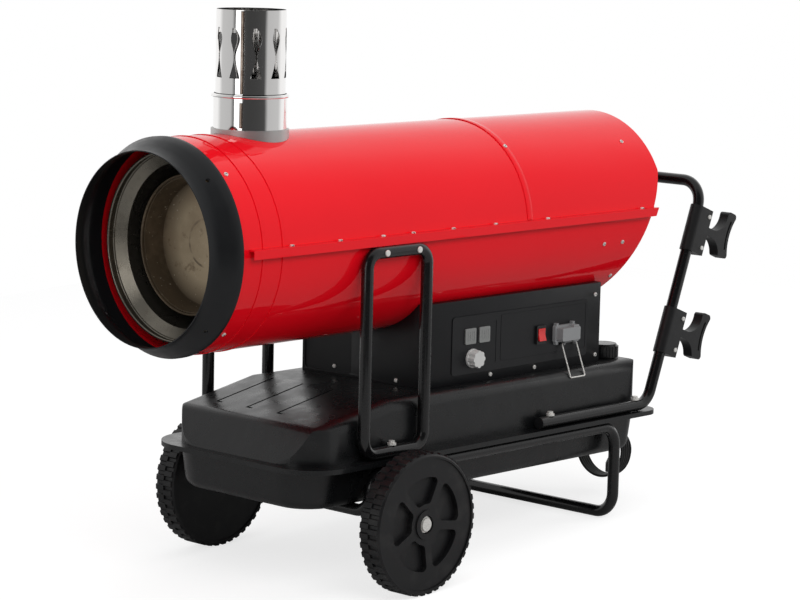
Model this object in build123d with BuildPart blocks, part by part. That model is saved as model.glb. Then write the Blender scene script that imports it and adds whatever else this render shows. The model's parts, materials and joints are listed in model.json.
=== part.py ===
from build123d import *
import os
from math import acos, asin, atan2, cos, degrees, hypot, pi, radians, sin, sqrt, tan

# Forced air heater with an indirect diesel burner, on a two-wheeled barrow.
# Body frame: X along the barrel from the nose cone's rear rim towards the air inlet, Y away from
# the control panel, Z up, origin on the barrel's axis. At the end the whole heater is tipped nose
# up until wheels and foot bar stand on one floor, and centred over the origin. Millimetres.

# ---- Driving dimensions ---------------------------------------------------------------------
nose_up = 2.8  # degrees; the wheels are taller than the foot
gap = 0.3  # clearance between pieces that seat or turn on each other
sheet = 1.5  # casing sheet steel
tube_r = 12.5  # 25 mm frame tube
tube_wall = 1.5

# Casing: two half barrels on a horizontal seam, the upper one in two lengths
shell_r = 212.5
shell_front = -9.0
joint_x = 834.0  # where the two upper lengths meet
hood_reach = 156.0  # hood behind the inlet guard
hood_rake = 140.0  # the hood's bottom stops this far before its top
hood_kink_z = 93.0  # the rear edge is upright above this and raked below it
seam_z = 14.0  # seam above the barrel's axis
ledge_reach = 14.0  # seam flange, out from the shell
lip_drop = 17.0  # turned-down edge of the upper flange
flange_front = 16.0
bead_rise = 1.6
bead_width = 6.0
bead_places = (54.0, 107.0)
band_width = 16.0  # strap over the joint of the upper lengths
band_rise = 1.8

# Nose cone at the warm air outlet
cone_length = 66.0
cone_step = 21.5  # the duct band is this much smaller than the shell
cone_band = 16.0  # straight front band that takes a duct
cone_rim_over = 3.0  # rolled rim, out from the shell
cone_rim_width = 10.0
cone_skirt = 18.0  # skirt inside the shell, behind its front edge
cone_wall = 2.0
cone_hole_r = 4.0
cone_hole_x = -29.0
cone_screw_x = 14.0
cone_screw_angles = (46, 134, 226, 314)

# Heat exchanger and combustion chamber
air_gap = 25.5  # cooling air between shell and heat exchanger
jacket = 24.0  # flue gas space of the heat exchanger
drum_front = 16.0
drum_length = 620.0
drum_mouth = 45.0  # where the sloping front plate meets the bore
drum_wall = 2.0
drum_bead = 3.5
bead_step = 14.0
chamber_gap = 27.0  # warm air between heat exchanger and chamber
chamber_front = 59.0
chamber_length = 640.0
chamber_wall = 2.0
chamber_bead = 2.2
dish_depth = 46.0
dish_draft = 12.0
tab_width = 24.0  # spacers that hold drum and chamber
tab_thick = 2.5
tab_inset = 80.0  # spacers stand this far inside the drum's ends

# Chimney, from the shell's top upwards
flue_x = 220.0
flue_sheet = 1.2
sleeve_r = 73.0
sleeve_rise = 77.5
sleeve_bead = 4.0
sleeve_bead_width = 6.0
collar_r = 77.5
collar_rise = 8.5
terminal_r = 69.5
terminal_length = 165.0  # above the sleeve
terminal_plug = 34.0  # crimped length pushed into the sleeve
crimp = 2.0
swage_width = 8.0
slot_lift = 32.0  # slots start this far above the sleeve
slot_height = 98.0
slot_count = 10
slot_share = 0.56  # of the pitch between slots
vane_wall = 1.0
vane_turn = 38.0
vane_share = 0.8  # of the slot's width

# Burner, motor and fan
burner_tube_r = 52.0
burner_wall = 2.0
burner_nose = 52.0  # blast tube inside the chamber
burner_plate_r = 84.0
burner_plate = 3.0
burner_length = 100.0
blower_r = 76.8
blower_width = 74.0
blower_drop = 10.0
blower_wall = 2.0
nozzle_r = 9.0
rod_r = 1.4
rod_sleeve_r = 4.5
rod_y = 14.0
rod_z = 16.0
burner_motor_r = 44.0
burner_motor_length = 96.0
damper_r = 9.0
damper_height = 26.0
pump_size = (62.0, 58.0)
pump_length = 44.0
motor_clearance = 9.4  # between the burner's blower and the fan motor
motor_r = 62.0
motor_length = 108.0
bracket_width = 22.0
bracket_wall = 4.0
fan_clearance = 6.0
fan_tip_gap = 26.5  # between blades and shell
fan_hub_r = 42.0
fan_width = 52.0
fan_blades = 5
blade_wall = 2.2
blade_shares = (0.0, 0.48, 1.0)  # of the blade's span
blade_chords = (74.0, 96.0, 104.0)
blade_leans = (38.0, 28.0, 20.0)  # degrees from the shaft's cross plane
shaft_r = 7.0
guard_clearance = 8.0
guard_rings = 7
guard_spokes = 6
guard_wire = 3.4
guard_eye_r = 30.0

# Tank, hung under the barrel
deck_drop = 107.5  # tank's deck below the barrel
tank_front = 188.0
tank_rear = 1236.0
tank_side_gap = 4.2  # tank's walls inside the frame tubes
tank_wall = 4.0
tank_height = 204.0
flange_drop = 112.0  # moulded flange below the deck
flange_thick = 10.0
flange_side = 18.3  # flange beyond the frame tubes' centre lines
flange_over = 24.0  # flange beyond the walls at the front
flange_over_rear = 34.0
tank_corner_r = 92.0
rear_corner_r = 44.0
tank_shoulder_r = 26.0
ramp_crest_r = 22.0
bottom_r = 24.0
front_lean = 34.0  # the front wall leans back this far on its way up
lower_draft = 7.0
ramp_end = 425.0
ramp_angle = 10.6
groove_width = 5.0
groove_depth = 2.5
groove_start = 265.0
groove_leg = 17.0
groove_y = (130.0, 42.0, -45.0)
neck_r = 27.0
neck_height = 14.0
cap_r = 34.0
cap_height = 29.0
cap_seat = 2.0  # the skirt stops this far over the deck
cap_ribs = 28
cap_rib = 1.6
cap_crown = 5.0
cap_x = 1185.0
cap_inset = 69.0  # cap's axis inside the tank's side
drain_r = 15.0
drain_flange = 4.0
drain_inset = 70.0

# Control box between tank and barrel
box_front = 556.0
box_rear = 1126.0
box_half_w = 174.0
box_ledge = 17.7  # flat top edge beside the barrel
box_wall = 1.5
box_edge_r = 3.0
hatch_inner_y = 31.0
hatch_margin = 8.0
hatch_lap = 3.0
panel_x0 = 640.0
panel_x1 = 1080.0
panel_lift = 20.0  # panel's lower edge over the tank's deck
panel_height = 122.0
panel_thick = 2.0
panel_corner = 8.0
groove_x = 776.0
groove_line = 5.0
frame_x = (792.0, 1074.0)
frame_line = 1.5
frame_margin = (16.0, 6.0)  # below and above
knob_x = 703.0
knob_lift = 32.0
knob_r = 20.0
knob_skirt = 4.0
knob_depth = 21.0
knob_facets = 8
display_x = (695.0, 739.0)
display_lift = 79.0
display_size = 33.0
display_depth = 3.0
digit_size = (9.0, 19.0)
digit_line = 2.0
switch_x = 921.0
switch_lift = 60.0
switch_w = 30.0
switch_h = 40.0
bezel_depth = 5.0
bezel_side = 4.0
rocker_tilt = 8.0
rocker_rise = 4.5
rocker_inset = 1.0
socket_x = 997.0
socket_lift = 57.0
socket_w = 67.0
socket_h = 36.0
socket_depth = 8.0
socket_corner = 3.0
plug_inset = 4.0  # connector inside its socket's outline
plug_reach = 26.0  # connector's face over the panel
plug_end = 18.0  # taller block at the connector's rear end
ear_size = (7.0, 8.0, 10.0)
bail_x = 1014.0
bail_wire = 1.6
bail_drop = 76.0
bail_half_w = 19.0
bail_stand = 5.0  # eyes over the panel
hinge_strip = 2.5
eye_r = 4.2
eye_width = 4.0
board_x = 880.0
board_size = (150.0, 2.0, 60.0)
relay_size = (34.0, 22.0, 30.0)
choke_size = (28.0, 16.0, 40.0)
transformer_x = 691.0
transformer_y = 40.0
transformer_size = (92.0, 76.0, 68.0)
pan_r = 4.5  # screw heads
pan_height = 3.0

# Barrow: frame, hoops, handle, wheels
axle_x = 415.0
axle_drop = 31.0  # axle below the tank
wheel_r = 145.0
wheel_width = 52.0
spacer_length = 41.5  # between axle plate and wheel
axle_r = 8.0
leg_x = 1128.0
frame_front_x = 352.0
bend_r = 46.0
front_bend_r = 38.0
hoop_x0 = 329.0
hoop_x1 = 503.0
hoop_top_z = -16.0
hoop_bend_r = 30.0
handle_end_x = 872.0
handle_foot_x = 1238.0
handle_lean = 20.6  # degrees of the posts from upright
handle_top_z = 62.0
handle_bend_r = 58.0
end_plug_cap = 4.0
end_plug_length = 14.0

# Cable hooks on one post
hook_length = 104.0
hook_heights = (-39.0, -261.0)  # middle of each hook on the post
hook_sleeve = 3.5
hook_flange = 40.0  # flange behind the post, out from its centre line
hook_arm = 18.0
hook_arm_rise = 6.0
hook_neck = 62.0  # the arm starts to flare here
hook_reach = 140.0
hook_head_rise = 18.5  # the head stands this much higher than the flange
hook_horn = 38.0  # depth of the horns
hook_hollow = 14.0  # the head's outer edge dips towards the post
hook_width = 24.0
hook_corner = 8.0
hook_slot = 5.0
hook_slot_share = 0.55  # of the head's height
hook_screw_inset = 9.0
hook_screw_pitch = 72.0
hook_screw_r = 2.5
hook_screw_tail = 6.0  # shank showing behind the flange

# Axle plates and wheels
plate_half = 22.0
plate_bottom_r = 17.0
plate_neck = 10.0
axle_plate = 5.0
spacer_wall = 4.0
tread_depth = 3.5
tread_lugs = 44
lug_top = 0.5  # share of the pitch
lug_flank = 0.1
wheel_dish = 3.0
wheel_dish_r = 134.0
wheel_hub_r = 30.0
wheel_pockets = 5
pocket_r0 = 42.0
pocket_r1 = 96.0
pocket_web = 18.0
pocket_corner = 10.0
pocket_turn = 27.0
pocket_depth = 12.0
hub_counter_r = 18.5  # recess for the nut in the hub's face
hub_counter = 7.0
nut_r = 13.0
nut_height = 6.4
nut_washer_r = 17.0
nut_washer = 1.5
nut_grip = 3.0  # axle inside the nut

# Frame fixings
hoop_bolt_x = 410.0
top_bolt_x = (372.0, 466.0)
rail_bolt_x = (905.0, 1195.0)
frame_nut_r = 6.0
frame_nut_height = 9.0
frame_washer_r = 9.0
frame_washer = 4.5
hoop_screw_r = 6.5

# Mains lead
cord_r = 3.3
gland_y = -20.0
gland_lift = 35.0
gland_r = 8.0
gland_nut_r = 13.0
gland_nut = 6.0
gland_length = 28.0
coil_r = 64.0
coil_half_turns = 9
coil_pitch = 7.2
coil_clear = 13.0  # coil behind the tank's flange
coil_drop = 28.0  # coil's centre below the tank
coil_y = -60.0
plug_r = 18.5
plug_length = 36.0
plug_shoulder = 16.0
plug_waist = 0.62  # share of the plug's radius
relief_length = 24.0
pin_length = 19.0
pin_r = 2.4
pin_pitch = 19.0
tie_width = 5.0
tie_wall = 1.2

# ---- Places that follow from them -------------------------------------------------------------
drum_r = shell_r - air_gap
drum_bore_r = drum_r - jacket
chamber_r = drum_bore_r - chamber_gap
dish_r = chamber_r - dish_draft
cone_lip_r = shell_r - cone_step
cone_rim_r = shell_r + cone_rim_over
fan_r = shell_r - fan_tip_gap
sleeve_top = shell_r + sleeve_rise
collar_top = shell_r + collar_rise
terminal_top = sleeve_top + terminal_length
slot_bottom = sleeve_top + slot_lift
drum_rear = drum_front + drum_length
chamber_rear = chamber_front + chamber_length
blower_x = chamber_rear + burner_length + blower_r
motor_front = blower_x + blower_r + motor_clearance
motor_rear = motor_front + motor_length
fan_x = motor_rear + fan_clearance + fan_width / 2
guard_x = fan_x + fan_width / 2 + guard_clearance
rear_x = guard_x + hood_reach
lip_y = shell_r + ledge_reach
tank_deck = -(shell_r + deck_drop)
tank_bottom = tank_deck - tank_height
flange_top = tank_deck - flange_drop
box_top = -sqrt(shell_r**2 - (box_half_w - box_ledge) ** 2)
panel_z0 = tank_deck + panel_lift
panel_z1 = panel_z0 + panel_height
panel_y = -(box_half_w + panel_thick)
knob_z = panel_z0 + knob_lift
display_z = panel_z0 + display_lift
switch_z = panel_z0 + switch_lift
socket_z = panel_z0 + socket_lift
hoop_y = sqrt((shell_r + tube_r + gap) ** 2 - hoop_top_z**2)
tank_half_w = hoop_y - tube_r - tank_side_gap
flange_half_w = hoop_y + flange_side
cap_y = cap_inset - tank_half_w
plate_face = hoop_y + axle_plate / 2
wheel_inner_y = plate_face + spacer_length + gap
wheel_outer_y = wheel_inner_y + wheel_width
rail_z = flange_top - flange_thick - tube_r - gap
rail_top_z = flange_top + tube_r + gap
cross_z = tank_bottom - tube_r - gap
axle_z = tank_bottom - axle_drop
tip = radians(nose_up)
foot_z = axle_z + (leg_x - axle_x) * tan(tip) - (wheel_r - tube_r) / cos(tip)
gland_z = tank_deck + gland_lift
coil_x = tank_rear + flange_over_rear + coil_clear
coil_z = tank_bottom - coil_drop

pieces = {}
on_base = (Align.CENTER, Align.CENTER, Align.MIN)
on_wall = (Align.CENTER, Align.MIN, Align.CENTER)
under = (Align.CENTER, Align.CENTER, Align.MAX)


def keep(builder, name):
    """Store a finished sub-part under its node's name."""
    builder.part.label = name
    pieces[name] = builder.part


def turned(profile):
    """A body of revolution about the barrel's axis from (x, radius) corners."""
    with BuildPart() as body:
        with BuildSketch(Plane.XZ):
            with BuildLine():
                Polyline(*profile, close=True)
            make_face()
        revolve(axis=Axis.X)
    return body.part


def tube_along(path, radius=tube_r, wall=tube_wall):
    """A round tube swept along a path of runs and tangent arcs."""
    with BuildPart() as tube:
        with BuildSketch(Plane(origin=path @ 0, z_dir=path % 0)):
            Circle(radius)
            if wall:
                Circle(radius - wall, mode=Mode.SUBTRACT)
        sweep(path=path)
    return tube.part


def screw_head(radius=pan_r, height=pan_height):
    """A pan head, for fixings that share a node."""
    with BuildPart() as head:
        Cylinder(radius, height, align=on_base)
        fillet(head.edges().group_by(Axis.Z)[-1], height * 0.55)
    return head.part


def on_barrel(x, angle, lift=0.0):
    """Location on the shell: x along it, angle up from the panel side, Z pointing outwards."""
    out = Vector(0, -cos(radians(angle)), sin(radians(angle)))
    return Plane(origin=Vector(x, 0, 0) + out * (shell_r + lift), x_dir=(1, 0, 0), z_dir=out).location


# ---- Casing -------------------------------------------------------------------------------------
def half_ring(outer, inner, upper):
    """Sketch faces for half a ring above or below the seam (used on Plane.YZ)."""
    Circle(outer)
    Circle(inner, mode=Mode.SUBTRACT)
    cut = 4 * shell_r
    with Locations((0, seam_z - cut / 2 if upper else seam_z + cut / 2)):
        Rectangle(cut, cut, mode=Mode.SUBTRACT)


def casing_length(x0, x1, upper):
    """One length of half barrel with its seam flanges."""
    with BuildPart() as shell:
        with BuildSketch(Plane.YZ.offset(x0)):
            half_ring(shell_r, shell_r - sheet, upper)
        extrude(amount=x1 - x0)
        flange_x0 = max(x0, flange_front)
        ledge_z = seam_z if upper else seam_z - sheet
        root = sqrt(shell_r**2 - seam_z**2) - sheet / 2
        reach = lip_y if upper else lip_y - sheet
        with BuildSketch(Plane.YZ.offset(flange_x0)):
            for side in (-1, 1):
                with Locations((side * (root + reach) / 2, ledge_z + sheet / 2)):
                    Rectangle(reach - root, sheet)
                if upper:
                    with Locations((side * (lip_y - sheet / 2), seam_z + sheet)):
                        Rectangle(sheet, lip_drop + sheet, align=(Align.CENTER, Align.MAX))
        extrude(amount=x1 - flange_x0)
        if x0 < flange_front:
            for bead_x in bead_places:
                with BuildSketch(Plane.YZ.offset(bead_x - bead_width / 2)):
                    half_ring(shell_r + bead_rise, shell_r - sheet / 2, upper)
                extrude(amount=bead_width)
        with BuildSketch(Plane.XZ):
            with BuildLine():
                rake = hood_rake / (hood_kink_z + shell_r)
                low = -2 * shell_r
                Polyline(
                    (rear_x, hood_kink_z),
                    (2 * rear_x, hood_kink_z),
                    (2 * rear_x, low),
                    (rear_x - rake * (hood_kink_z - low), low),
                    close=True,
                )
            make_face()
        extrude(amount=2 * shell_r, both=True, mode=Mode.SUBTRACT)
    return shell


upper_shell_front = casing_length(shell_front, joint_x - gap / 2, upper=True)
with upper_shell_front:
    with Locations((flue_x, 0, 0)):
        Cylinder(sleeve_r + gap, 2 * shell_r, align=on_base, mode=Mode.SUBTRACT)
keep(upper_shell_front, "upper_shell_front")
upper_shell_rear = casing_length(joint_x + gap / 2, rear_x, upper=True)
keep(upper_shell_rear, "upper_shell_rear")
lower_shell = casing_length(shell_front, rear_x, upper=False)
keep(lower_shell, "lower_shell")

with BuildPart() as joint_band:
    with BuildSketch(Plane.YZ.offset(joint_x - band_width / 2)):
        half_ring(shell_r + gap / 3 + band_rise, shell_r + gap / 3, upper=True)
        with Locations((0, seam_z + sheet)):
            Rectangle(4 * shell_r, 2 * sheet, mode=Mode.SUBTRACT)
    extrude(amount=band_width)
keep(joint_band, "joint_band")

skirt_r = shell_r - sheet - gap
with BuildPart() as nose_cone:
    add(
        turned(
            [
                (-cone_length, cone_lip_r - cone_wall),
                (-cone_length, cone_lip_r),
                (-cone_length + cone_band, cone_lip_r),
                (-cone_rim_width, cone_rim_r),
                (0, cone_rim_r),
                (0, cone_rim_r - cone_wall),
                (shell_front - gap, cone_rim_r - cone_wall),
                (shell_front - gap, skirt_r),
                (cone_skirt, skirt_r),
                (cone_skirt, skirt_r - cone_wall),
                (-cone_rim_width - cone_wall, skirt_r - cone_wall),
                (-cone_length + cone_band + 1, cone_lip_r - cone_wall),
            ]
        )
    )
    for angle in (45, 135, 225, 315):
        with Locations(on_barrel(cone_hole_x, angle, -cone_step)):
            Cylinder(cone_hole_r, 3 * cone_step, mode=Mode.SUBTRACT)
keep(nose_cone, "nose_cone")

seam_screw_places = (123.0, 256.0, 378.0, 466.0, 586.0, 717.0, joint_x + 50.0, rear_x - 87.0)
shell_bolt_places = (
    (rear_x - 199.0, -15.0),
    (rear_x - 136.0, -15.0),
    (rear_x - 124.0, -39.0),
    (rear_x - 74.0, 47.0),
)
with BuildPart() as casing_screws:
    for angle in cone_screw_angles:
        with Locations(on_barrel(cone_screw_x, angle)):
            add(screw_head())
    for x in seam_screw_places:
        y = lip_y - ledge_reach / 2
        with Locations((x, y, seam_z + sheet), (x, -y, seam_z + sheet)):
            add(screw_head())
    for x, angle in shell_bolt_places:
        with Locations(on_barrel(x, angle), on_barrel(x, 180 - angle)):
            add(screw_head())
    for angle in (50, 130):
        with Locations(on_barrel(joint_x, angle, gap / 3 + band_rise)):
            add(screw_head())
keep(casing_screws, "casing_screws")

# ---- Heat exchanger and combustion chamber -------------------------------------------------------
# The exchanger is an outer drum with a liner rolled into its front and rear plates
with BuildPart() as heat_exchanger:
    add(
        turned(
            [
                (drum_front, drum_r - drum_wall),
                (drum_front, drum_r),
                (drum_rear, drum_r),
                (drum_rear, drum_bore_r + drum_wall + gap),
                (drum_rear - drum_wall, drum_bore_r + drum_wall + gap),
                (drum_rear - drum_wall, drum_r - drum_wall),
                (drum_front + bead_step + drum_wall, drum_r - drum_wall),
                (drum_mouth + drum_wall, drum_bore_r + drum_wall),
                (drum_mouth, drum_bore_r),
                (drum_front + bead_step - drum_wall, drum_r - drum_wall),
            ]
        )
    )
    bead_centre = drum_r - drum_wall / 2
    with BuildSketch(Plane.XZ):
        with Locations((drum_front, bead_centre), (drum_front + bead_step, bead_centre)):
            Circle(drum_bead)
    revolve(axis=Axis.X)
    with Locations((flue_x, 0, 0)):
        Cylinder(sleeve_r - 8, 2 * drum_r, align=on_base, mode=Mode.SUBTRACT)
    liner_front = drum_mouth + drum_wall + gap
    add(
        turned(
            [
                (liner_front, drum_bore_r),
                (liner_front, drum_bore_r + drum_wall),
                (drum_rear, drum_bore_r + drum_wall),
                (drum_rear, drum_bore_r),
            ]
        )
    )
keep(heat_exchanger, "heat_exchanger")

# The chamber is a drum with a dished end pressed into its mouth and a bored rear plate
with BuildPart() as combustion_chamber:
    inner_r = chamber_r - chamber_wall
    dish_x = chamber_front + dish_depth
    cup_r = inner_r - gap
    with BuildSketch(Plane.XZ):
        with BuildLine():
            Polyline(
                (chamber_front, inner_r),
                (chamber_front, chamber_r),
                (chamber_rear, chamber_r),
                (chamber_rear, burner_tube_r + gap),
                (chamber_rear - chamber_wall, burner_tube_r + gap),
                (chamber_rear - chamber_wall, inner_r),
                close=True,
            )
        make_face()
        rim_r = chamber_r + chamber_bead / 4
        with Locations((chamber_front, rim_r), (chamber_front + 3 * chamber_bead, rim_r)):
            Circle(chamber_bead)
        with BuildLine():
            Polyline(
                (chamber_front + 2 * chamber_wall, cup_r),
                (chamber_front + 3 * chamber_wall, cup_r),
                (dish_x + chamber_wall, dish_r + chamber_wall),
                (dish_x + chamber_wall, 0),
                (dish_x, 0),
                (dish_x, dish_r),
                (chamber_front + 2 * chamber_wall, cup_r - chamber_wall),
                close=True,
            )
        make_face()
    revolve(axis=Axis.X)
keep(combustion_chamber, "combustion_chamber")


def spacers(x, inner, outer, angles):
    """Three tabs between two round walls."""
    for angle in angles:
        stand = Location((x, 0, 0), (angle, 0, 0)) * Location((0, 0, inner + gap))
        with Locations(stand):
            Box(tab_width, tab_thick, outer - inner - 2 * gap, align=on_base)


with BuildPart() as drum_supports:
    for x in (drum_front + tab_inset, drum_rear - tab_inset):
        spacers(x, drum_r, shell_r - sheet, (90, 210, 330))
        spacers(x, chamber_r, drum_bore_r, (30, 150, 270))
keep(drum_supports, "drum_supports")

# ---- Chimney ------------------------------------------------------------------------------------
def flued(profile):
    """A body of revolution about the chimney's axis from (radius, z) corners."""
    with BuildPart() as body:
        with BuildSketch(Plane.XZ.move(Location((flue_x, 0, 0)))):
            with BuildLine():
                Polyline(*profile, close=True)
            make_face()
        revolve(axis=Axis((flue_x, 0, 0), (0, 0, 1)))
    return body.part


def pipe(outer, wall, z0, z1):
    """An upright thin pipe on the chimney's axis."""
    return flued([(outer - wall, z0), (outer, z0), (outer, z1), (outer - wall, z1)])


def barrel_core(radius):
    """The barrel as a solid, for cutting what is saddled on it."""
    with BuildPart() as core:
        with BuildSketch(Plane.YZ.offset(shell_front)):
            Circle(radius)
        extrude(amount=rear_x - shell_front)
    return core.part


swage_r = sleeve_r - flue_sheet - gap
terminal_z0 = sleeve_top - terminal_plug
with BuildPart() as flue_neck:
    add(pipe(swage_r, flue_sheet, 0, terminal_z0 - 5 * sleeve_bead / 2))
    add(barrel_core(drum_r + gap), mode=Mode.SUBTRACT)
keep(flue_neck, "flue_neck")

with BuildPart() as flue_sleeve:
    add(pipe(sleeve_r, flue_sheet, shell_r - 2 * sleeve_bead_width, sleeve_top))
    bead_z = sleeve_top - 2 * sleeve_bead_width / 3
    bead_half = sleeve_bead_width / 2
    add(pipe(sleeve_r + sleeve_bead, sleeve_bead + flue_sheet, bead_z - bead_half, bead_z + bead_half))
    rims = flue_sleeve.edges().filter_by(GeomType.CIRCLE).sort_by(SortBy.RADIUS)[-2:]
    fillet(rims, 0.4 * sleeve_bead_width)
keep(flue_sleeve, "flue_sleeve")

with BuildPart() as flue_collar:
    add(pipe(collar_r, collar_r - sleeve_r - gap, 0, collar_top))
    add(barrel_core(shell_r + gap), mode=Mode.SUBTRACT)
keep(flue_collar, "flue_collar")

# The terminal is crimped where it plugs into the sleeve, with one swage that centres it
crimp_r = terminal_r - crimp
pitch = 2 * pi * terminal_r / slot_count
slot_cut = pitch * slot_share
with BuildPart() as flue_terminal:
    add(
        flued(
            [
                (crimp_r - flue_sheet, terminal_z0),
                (crimp_r, terminal_z0),
                (crimp_r, terminal_z0 + swage_width / 2),
                (swage_r, terminal_z0 + swage_width),
                (swage_r, terminal_z0 + 1.5 * swage_width),
                (crimp_r, terminal_z0 + 2 * swage_width),
                (crimp_r, sleeve_top - crimp),
                (terminal_r, sleeve_top + crimp / 2),
                (terminal_r, terminal_top),
                (terminal_r - flue_sheet, terminal_top),
                (terminal_r - flue_sheet, sleeve_top + crimp / 2),
                (crimp_r - flue_sheet, sleeve_top - crimp),
            ]
        )
    )
    with BuildPart(mode=Mode.PRIVATE) as slot_tool:
        with BuildSketch(Plane.XZ):
            with BuildLine():
                foot_half = slot_cut * 0.46
                waist = slot_height * 0.52
                shoulder = slot_height * 0.80
                Line((-foot_half, 0), (foot_half, 0))
                Spline(
                    (foot_half, 0),
                    (slot_cut * 0.16, waist),
                    (slot_cut * 0.46, shoulder),
                    (slot_cut * 0.06, slot_height),
                    tangents=((-0.2, 1), (-0.7, 1)),
                )
                Line((slot_cut * 0.06, slot_height), (-slot_cut * 0.22, slot_height))
                Spline(
                    (-slot_cut * 0.22, slot_height),
                    (-slot_cut * 0.34, shoulder),
                    (-slot_cut * 0.10, waist),
                    (-foot_half, 0),
                    tangents=((0, -1), (-0.3, -1)),
                )
            make_face()
        extrude(amount=2 * terminal_r)
    for turn in range(slot_count):
        place = Location((flue_x, 0, slot_bottom), (0, 0, turn * 360 / slot_count))
        add(place * slot_tool.part, mode=Mode.SUBTRACT)
        vane_root = -sqrt((terminal_r - flue_sheet) ** 2 - (slot_cut / 2) ** 2)
        with Locations(place * Location((-slot_cut / 2, vane_root, 0), (0, 0, vane_turn))):
            Box(
                slot_cut * vane_share,
                vane_wall,
                slot_height * 0.9,
                align=(Align.MIN, Align.MAX, Align.MIN),
            )
keep(flue_terminal, "flue_terminal")

# ---- Burner -------------------------------------------------------------------------------------
tube_front = chamber_rear - burner_nose
tube_taper = burner_nose / 4
tube_rear = chamber_rear + burner_length
plate_x = chamber_rear + gap
with BuildPart() as burner_tube:
    add(
        turned(
            [
                (tube_front, burner_tube_r - 3 * burner_wall),
                (tube_front, burner_tube_r - 2 * burner_wall),
                (tube_front + tube_taper, burner_tube_r),
                (plate_x, burner_tube_r),
                (plate_x, burner_plate_r),
                (plate_x + burner_plate, burner_plate_r),
                (plate_x + burner_plate, burner_tube_r),
                (tube_rear, burner_tube_r),
                (tube_rear, burner_tube_r - burner_wall),
                (tube_front + tube_taper, burner_tube_r - burner_wall),
            ]
        )
    )
    with BuildSketch(Plane.YZ.offset(plate_x)):
        with PolarLocations((burner_plate_r + burner_tube_r) / 2 + burner_wall, 4, 45):
            Circle(burner_plate)
    extrude(amount=burner_plate, mode=Mode.SUBTRACT)
    with BuildSketch(Plane.YZ.offset(tube_front + 2 * tube_taper)):
        Circle(burner_tube_r - burner_wall / 2)
        Circle(nozzle_r + 2 * burner_wall, mode=Mode.SUBTRACT)
        with PolarLocations((burner_tube_r + nozzle_r) / 2, 8):
            SlotOverall(burner_tube_r * 0.42, burner_plate, mode=Mode.SUBTRACT)
        with Locations((-rod_y, rod_z), (rod_y, rod_z)):
            Circle(rod_r + gap, mode=Mode.SUBTRACT)
    extrude(amount=burner_wall)
keep(burner_tube, "burner_tube")

nozzle_tip = tube_front + 1.4 * tube_taper
line_r = nozzle_r - burner_wall
line_rear = tube_rear - 2 * burner_wall
star_x = chamber_rear + tube_taper
with BuildPart() as nozzle_line:
    add(
        turned(
            [
                (nozzle_tip, 0),
                (nozzle_tip, nozzle_r / 2),
                (nozzle_tip + nozzle_r / 2, nozzle_r),
                (nozzle_tip + 2 * nozzle_r, nozzle_r),
                (nozzle_tip + 2 * nozzle_r, line_r),
                (line_rear, line_r),
                (line_rear, 0),
            ]
        )
    )
    with BuildSketch(Plane.YZ.offset(star_x)):
        Circle(burner_tube_r - burner_wall - gap)
        with PolarLocations(burner_tube_r * 0.6, 3, 270):
            Circle(1.6 * nozzle_r, mode=Mode.SUBTRACT)
        with Locations((-rod_y, rod_z), (rod_y, rod_z)):
            Circle(rod_sleeve_r + gap, mode=Mode.SUBTRACT)
    extrude(amount=burner_wall)
keep(nozzle_line, "nozzle_line")

with BuildPart() as electrodes:
    for side in (-1, 1):
        with Locations(Location((star_x, side * rod_y, rod_z), (0, 90, 0))):
            Cylinder(rod_sleeve_r, burner_nose)
            Cylinder(rod_r, burner_nose + 2 * tube_taper)
keep(electrodes, "electrodes")


def blower_outline(inset):
    """The burner's fan housing seen from the side: a round with its outlet towards the chamber."""
    with BuildSketch() as outline:
        with Locations((blower_x, -blower_drop)):
            Circle(blower_r - inset)
        with Locations((blower_x, 0)):
            Rectangle(
                blower_r - inset,
                2 * (burner_tube_r - inset),
                align=(Align.MAX, Align.CENTER),
            )
    return outline.sketch


with BuildPart() as burner_housing:
    with BuildSketch(Plane.XZ.offset(-blower_width / 2)):
        add(blower_outline(0))
    extrude(amount=blower_width)
    with BuildSketch(Plane.XZ.offset(blower_wall - blower_width / 2)):
        add(blower_outline(blower_wall))
    extrude(amount=blower_width - 2 * blower_wall, mode=Mode.SUBTRACT)
    with BuildSketch(Plane.YZ.offset(tube_rear - blower_wall)):
        Circle(blower_width / 2 - 2 * blower_wall)
    extrude(amount=3 * blower_wall, mode=Mode.SUBTRACT)
    with Locations((blower_x - 0.75 * blower_r, 0, burner_tube_r - blower_wall / 2)):
        Cylinder(1.4 * damper_r, damper_height / 5, align=on_base)
        Cylinder(damper_r, damper_height, align=on_base)
keep(burner_housing, "burner_housing")

with BuildPart() as burner_motor:
    with BuildSketch(Plane.XZ.offset(-blower_width / 2)):
        with Locations((blower_x, -blower_drop)):
            Circle(burner_motor_r)
    extrude(amount=-burner_motor_length)
    end_rim = burner_motor.edges().filter_by(GeomType.CIRCLE).sort_by(Axis.Y)[-1]
    chamfer(end_rim, burner_motor_r / 6)
keep(burner_motor, "burner_motor")

pump_neck = pump_length / 4
with BuildPart() as fuel_pump:
    with BuildSketch(Plane.XZ.offset(blower_width / 2)):
        with Locations((blower_x, -blower_drop)):
            Circle(pump_size[1] / 2 - blower_wall)
    extrude(amount=pump_neck)
    with BuildSketch(Plane.XZ.offset(blower_width / 2 + pump_neck)):
        with Locations((blower_x, -blower_drop)):
            RectangleRounded(*pump_size, damper_r)
    extrude(amount=pump_length)
    screw_at = -blower_width / 2 - pump_neck - pump_length / 2
    with Locations((blower_x - pump_size[0] / 4, screw_at, pump_size[1] / 2 - blower_drop)):
        Cylinder(0.7 * damper_r, pump_neck, align=on_base)
keep(fuel_pump, "fuel_pump")

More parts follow.
